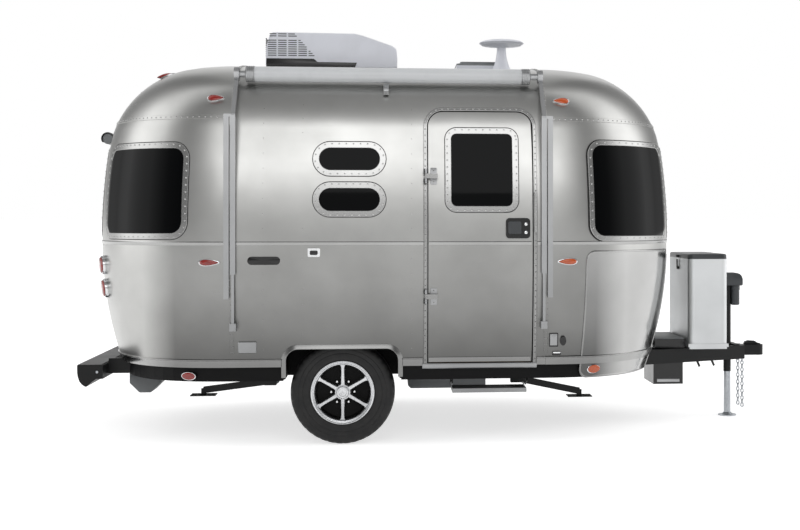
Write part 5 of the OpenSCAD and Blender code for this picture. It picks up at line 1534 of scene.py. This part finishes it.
# %% [markdown]
# On the drawbar stand the gas bottles under a brushed aluminium cover. Its lid is a dark moulding
# with a rolled lip, held by a rubber strap. The lid is a loft: rounded outlines at rising heights,
# first down the inside and then up over the outside, so that it is hollow like the real one.
# %% Gas cover lid and strap
def round_outline(x0, y0, x1, y1, radius, steps=6):
    """A rectangle with round corners, anticlockwise."""
    points = []
    for cx, cy, start in ((x1 - radius, y1 - radius, 0), (x0 + radius, y1 - radius, 90),
                          (x0 + radius, y0 + radius, 180), (x1 - radius, y0 + radius, 270)):
        for i in range(steps + 1):
            a = math.radians(start + 90 * i / steps)
            points.append((cx + radius * math.cos(a), cy + radius * math.sin(a)))
    return points


def lofted(rings):
    """Skins rings of points one after another and closes both ends."""
    n = len(rings[0])
    points = [p for ring in rings for p in ring]
    faces = [tuple(reversed(range(n))), tuple(range((len(rings) - 1) * n, len(rings) * n))]
    for k in range(len(rings) - 1):
        faces += ring_band(k * n, (k + 1) * n, n)
    return points, faces


gas_low, gas_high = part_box("gas_cover_lid")
LID_CORNER, LID_T = 0.045, 0.004


def lid_ring(inset, z):
    """The lid's outline at one height, drawn in by this much."""
    x0, x1 = gas_low.x + inset, gas_high.x - inset
    y0, y1 = gas_low.y + inset, gas_high.y - inset
    return [Vector((x, y, z)) for x, y in round_outline(x0, y0, x1, y1, LID_CORNER - inset)]


lid_levels = [(0.020, gas_high.z - LID_T), (0.008, gas_high.z - 0.007), (LID_T, gas_high.z - 0.014),
              (LID_T, gas_low.z), (0.0005, gas_low.z), (0.0, gas_low.z + 0.003), (0.0, gas_low.z + 0.010),
              (0.0015, gas_low.z + 0.011), (0.002, gas_high.z - 0.012), (0.006, gas_high.z - 0.004),
              (0.014, gas_high.z)]  # inset and height
lid = made("gas_lid_moulding", lofted([lid_ring(*level) for level in lid_levels]), charcoal_moulding,
           "gas_cover_lid")
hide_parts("gas_cover_lid")
STRAP_W = 0.022
strap = [box_shape(gas_low.x - 0.011, gas_low.x, -STRAP_W, STRAP_W, 1.128, 1.150),
         box_shape(gas_low.x - 0.014, gas_low.x - 0.007, -STRAP_W * 0.6, STRAP_W * 0.6, 1.140, 1.205)]
made("gas_strap", merged(strap), rubber_seal, "body", bevel=0.002)
keeper = box_shape(gas_low.x - 0.016, gas_low.x - 0.001, -STRAP_W, STRAP_W, 1.220, 1.238)
made("gas_strap_keeper", keeper, rubber_seal, "gas_cover_lid", bevel=0.003)
print("lid corners:", LID_CORNER)

# %% [markdown]
# Ahead of the cover stands the power jack: an outer tube, a gear head with a rounded nose and a
# motor hanging beside the tube. Behind it lies the battery box with its lift-off lid. The coupler
# has a latch lever on top.
# %% Jack, battery lid and coupler latch
JACK_X, TUBE_OUT, TUBE_IN = 2.215, 0.0285, 0.0259
tube_foot, head_top = (corner.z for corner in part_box("jack_tube"))
HEAD_FLOOR = 1.000
tube_profile = [(tube_foot, TUBE_IN), (tube_foot, TUBE_OUT), (HEAD_FLOOR, TUBE_OUT), (HEAD_FLOOR, TUBE_IN)]
head_outline = [(2.152, HEAD_FLOOR), (2.152, head_top - 0.016), (2.168, head_top), (2.270, head_top),
                (2.300, head_top - 0.006), (2.320, head_top - 0.024), (2.328, head_top - 0.052),
                (2.328, HEAD_FLOOR)]
MOTOR_X, MOTOR_R = 2.278, 0.034
motor_profile = [(0.850, 0.0005), (0.850, MOTOR_R - 0.006), (0.856, MOTOR_R), (0.966, MOTOR_R),
                 (0.970, MOTOR_R + 0.003), (HEAD_FLOOR + 0.004, MOTOR_R + 0.003),
                 (HEAD_FLOOR + 0.004, 0.0005)]
jack = made("jack_outer_tube", turned(tube_profile, upright_at(JACK_X, 0.0), 40), black_powder_coat,
            "body")
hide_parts("jack_tube")
made("jack_head", extruded(head_outline, across_y, -0.056, 0.056), charcoal_moulding, "body",
     bevel=0.012)
made("jack_motor", turned(motor_profile, upright_at(MOTOR_X, 0.0), 40), charcoal_moulding, "body")
for name, plate_x0, plate_x1 in (("jack_plate", -0.070, -0.0255), ("jack_plate_front", 0.0265, 0.070)):
    made(name, box_shape(JACK_X + plate_x0, JACK_X + plate_x1, -0.110, 0.110, 0.5453, 0.555),
         black_powder_coat, "body", bevel=0.002)
made("battery_lid", box_shape(1.594, 1.822, -0.256, 0.256, 0.6115, 0.624), grey_moulding,
     "body", bevel=0.004)
made("battery_strip", box_shape(1.628, 1.800, -0.1868, -0.1835, 0.284, 0.306), satin_extrusion,
     "body", bevel=0.001)
latch_outline = [(2.345, 0.543), (2.352, 0.566), (2.380, 0.575), (2.430, 0.571), (2.452, 0.557),
                 (2.474, 0.552), (2.474, 0.543)]
made("coupler_lever", extruded(latch_outline, across_y, -0.019, 0.019), black_powder_coat,
     "body", bevel=0.003)
LEVER_T = 0.012
levers = [extruded([(x, 0.470), (x + 0.018, 0.470), (x + 0.046, 0.405), (x + 0.032, 0.398)], across_y,
                   y, y + LEVER_T) for x, y in ((1.905, -0.235), (2.030, -0.180))]
made("drawbar_levers", merged(levers), black_powder_coat, "body", bevel=0.002)
print("jack head top:", round(head_top, 3))

# %% [markdown]
# The rear bumper is a folded steel trough that stores a hose. Its outer wall curls under at the foot,
# and the floor steps up behind the curl. The trough is an outline pushed across the body, with a
# smaller one cut out of it, which leaves 5 mm walls. Two bolts hold it to the ends of the rails.
# %% Rear bumper trough
bumper_low, bumper_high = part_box("rear_bumper")
TROUGH_T = 0.005
# measured from the trough's outer wall and foot
trough_outline = [(0.000, 0.146), (0.000, 0.098), (0.004, 0.068), (0.014, 0.038), (0.030, 0.016),
                  (0.048, 0.003), (0.060, 0.000), (0.068, 0.004), (0.078, 0.016), (0.125, 0.053),
                  (0.170, 0.053), (0.170, 0.146)]
trough_inside = [(0.005, 0.200), (0.005, 0.098), (0.009, 0.069), (0.018, 0.041), (0.034, 0.020),
                 (0.050, 0.008), (0.062, 0.007), (0.074, 0.020), (0.123, 0.058), (0.165, 0.058),
                 (0.165, 0.200)]
BOLT = (0.132, 0.100)


def trough_place(x, z, y):
    """Places on the trough, from its outer wall, its foot and the body's middle."""
    return Vector((bumper_low.x + x, y, bumper_low.z + z))


trough = made("bumper_trough", extruded(trough_outline, trough_place, bumper_low.y, bumper_high.y),
              black_powder_coat, "body")
cut(trough, [extruded(trough_inside, trough_place, bumper_low.y + TROUGH_T, bumper_high.y - TROUGH_T)])
sharpen(trough, 32)
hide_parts("rear_bumper")
bolt_profile = [(bumper_low.y - 0.006, 0.0005), (bumper_low.y - 0.006, 0.009), (bumper_low.y + 0.001, 0.011),
                (bumper_low.y + 0.001, 0.0005)]
bolts = [turned(bolt_profile, lambda y, r, t, side=side: trough_place(
    BOLT[0] + r * math.cos(t), BOLT[1] + r * math.sin(t), -side * y), 6) for side in (-1, 1)]
made("bumper_bolts", merged(bolts), zinc_plate, "body")
print("bumper trough:", len(trough.data.polygons), "faces")

# %% [markdown]
# Three grey pans hang under the belly: a long one for the waste tank, a thin one behind the axle and
# the drain box at the back. Each is a pressed tray, so its lower edges are drawn in, the drain box
# most of all.
# %% Pans under the belly
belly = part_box("tank_pans")[1].z
PANS = (  # from x to x, from y to y, the foot's height, and how far the lower edges are drawn in
    (-0.250, 0.310, -0.480, 0.480, 0.296, 0.020), (-1.360, -1.160, -0.520, 0.520, 0.345, 0.012),
    (-2.200, -1.985, -0.500, -0.250, 0.292, 0.068))
trays = []
for x0, x1, y0, y1, foot, drawn_in in PANS:
    edge = min(belly - 0.010, foot + drawn_in)
    tray = [(x0, belly), (x0, edge), (x0 + drawn_in, foot), (x1 - drawn_in, foot), (x1, edge), (x1, belly)]
    trays.append(extruded(tray, across_y, y0, y1))
pans = made("belly_pans", merged(trays), grey_moulding, "body", bevel=0.006)
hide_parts("tank_pans")
print("pans:", len(trays))

# %% [markdown]
# All rivets that ride on one body become one piece, because a thousand separate objects would slow
# everything down and nobody wants to pick out a single rivet.
# %% Rivets
for name, found, body in (("body_rivets", body_rivets, "body"), ("door_rivets", door_rivets, "door")):
    heads = piece_from(name, *merged(found), bright_extrusion, body)
    print(name, len(found))

# %% [markdown]
# The caravan stands in a plain pale studio. The floor is white paint that also glows a little
# towards the lens, so that it reads as an even ground while it keeps the shadow.
# %% Studio floor
stage_mesh = bpy.data.meshes.new("studio_floor")
FLOOR_REACH = 1500
stage_mesh.from_pydata([(-FLOOR_REACH, -FLOOR_REACH, 0), (FLOOR_REACH, -FLOOR_REACH, 0),
                        (FLOOR_REACH, FLOOR_REACH, 0), (-FLOOR_REACH, FLOOR_REACH, 0)], [], [(0, 1, 2, 3)])
stage_floor = bpy.data.objects.new("studio_floor", stage_mesh)
bpy.context.scene.collection.objects.link(stage_floor)
floor_paint = bpy.data.materials.new("Studio floor, matt white paint")
floor_paint.use_nodes = True
floor_tree = floor_paint.node_tree
floor_tree.nodes.clear()
matt = add_node(floor_tree, "ShaderNodeBsdfDiffuse", {"Color": linear("#E6E6E6")})
path = add_node(floor_tree, "ShaderNodeLightPath").outputs
direct = add_node(floor_tree, "ShaderNodeMath", {0: path["Is Camera Ray"], 1: path["Is Glossy Ray"]},
                  operation="MAXIMUM")
seen = add_node(floor_tree, "ShaderNodeMath", {0: direct.outputs[0], 1: path["Is Transmission Ray"]},
                operation="MAXIMUM")
FLOOR_GLOW = 0.66
glow_amount = add_node(floor_tree, "ShaderNodeMath", {0: seen.outputs[0], 1: FLOOR_GLOW},
                       operation="MULTIPLY")
glow = add_node(floor_tree, "ShaderNodeEmission", {"Strength": glow_amount.outputs[0]})
both = add_node(floor_tree, "ShaderNodeAddShader", {0: matt.outputs[0], 1: glow.outputs[0]})
add_node(floor_tree, "ShaderNodeOutputMaterial", {"Surface": both.outputs[0]})
stage_mesh.materials.append(floor_paint)
print("floor:", stage_floor.name, "with", floor_paint.name)

# %% [markdown]
# The studio's walls are a sky: bright up to head height and darker overhead, with bright panels to
# the left and right and darker gaps between, which polished metal shows as soft streaks round the
# ends. One big soft lamp in front gives the shape of dents and mouldings.
# %% Studio sky and lamp
sky = bpy.data.worlds.new("studio_sky")
bpy.context.scene.world = sky
sky.use_nodes = True
sky_tree = sky.node_tree
sky_tree.nodes.clear()
direction = add_node(sky_tree, "ShaderNodeTexCoord").outputs["Generated"]
parts = add_node(sky_tree, "ShaderNodeSeparateXYZ", {0: direction})
level = add_node(sky_tree, "ShaderNodeCombineXYZ", {0: parts.outputs["X"], 1: parts.outputs["Y"]})
bearing = add_node(sky_tree, "ShaderNodeVectorMath", {0: level.outputs[0]}, operation="NORMALIZE")
bearing_y = add_node(sky_tree, "ShaderNodeSeparateXYZ", {0: bearing.outputs[0]}).outputs["Y"]
across = add_node(sky_tree, "ShaderNodeMapRange", {"Value": bearing_y, "From Min": -1.0, "From Max": 1.0})
# grey value at each share of the way, from the door side (0) to the far side (1)
ROUND_STOPS = ((0.0, 0.74), (0.010, 0.70), (0.04, 0.42), (0.10, 0.22), (0.19, 0.45), (0.34, 1.9), (0.60, 2.1),
               (0.74, 0.7), (0.86, 0.28), (0.955, 0.34), (0.972, 1.0))
# and at each sine of the height above the horizon
RISE_STOPS = ((0.0, 1.0), (0.30, 1.0), (0.58, 0.95), (0.78, 0.66), (0.92, 0.55), (1.0, 0.60))


def grey_ramp(tree, value, stops):
    """A ramp of linear greys."""
    ramp = add_node(tree, "ShaderNodeValToRGB", {"Fac": value})
    elements = ramp.color_ramp.elements
    for i, (place, grey) in enumerate(stops):
        stop = elements[i] if i < 2 else elements.new(place)
        stop.position = place
        stop.color = (grey, grey, grey, 1.0)
    return ramp.outputs["Color"]


grey_round = grey_ramp(sky_tree, across.outputs[0], ROUND_STOPS)
grey_up = grey_ramp(sky_tree, parts.outputs["Z"], RISE_STOPS)
sky_colour = add_node(sky_tree, "ShaderNodeMix", {0: 1.0, COLOUR_A: grey_round, COLOUR_B: grey_up},
                      data_type="RGBA", blend_type="MULTIPLY").outputs[COLOUR_OUT]
sky_light = add_node(sky_tree, "ShaderNodeBackground", {"Color": sky_colour, "Strength": 1.0})
add_node(sky_tree, "ShaderNodeOutputWorld", {"Surface": sky_light.outputs[0]})

soft_box = bpy.data.lights.new("soft_box", "AREA")
soft_box.shape = "RECTANGLE"
soft_box.size, soft_box.size_y = 6.4, 3.4
soft_box.energy = 106
lamp = bpy.data.objects.new("soft_box", soft_box)
lamp.location = (-0.1, -8.0, 4.8)
lamp.rotation_euler = (math.radians(72), 0, math.radians(-2))
bpy.context.scene.collection.objects.link(lamp)
print("sky:", sky.name, "and", lamp.name, "at", tuple(round(c, 2) for c in lamp.location))
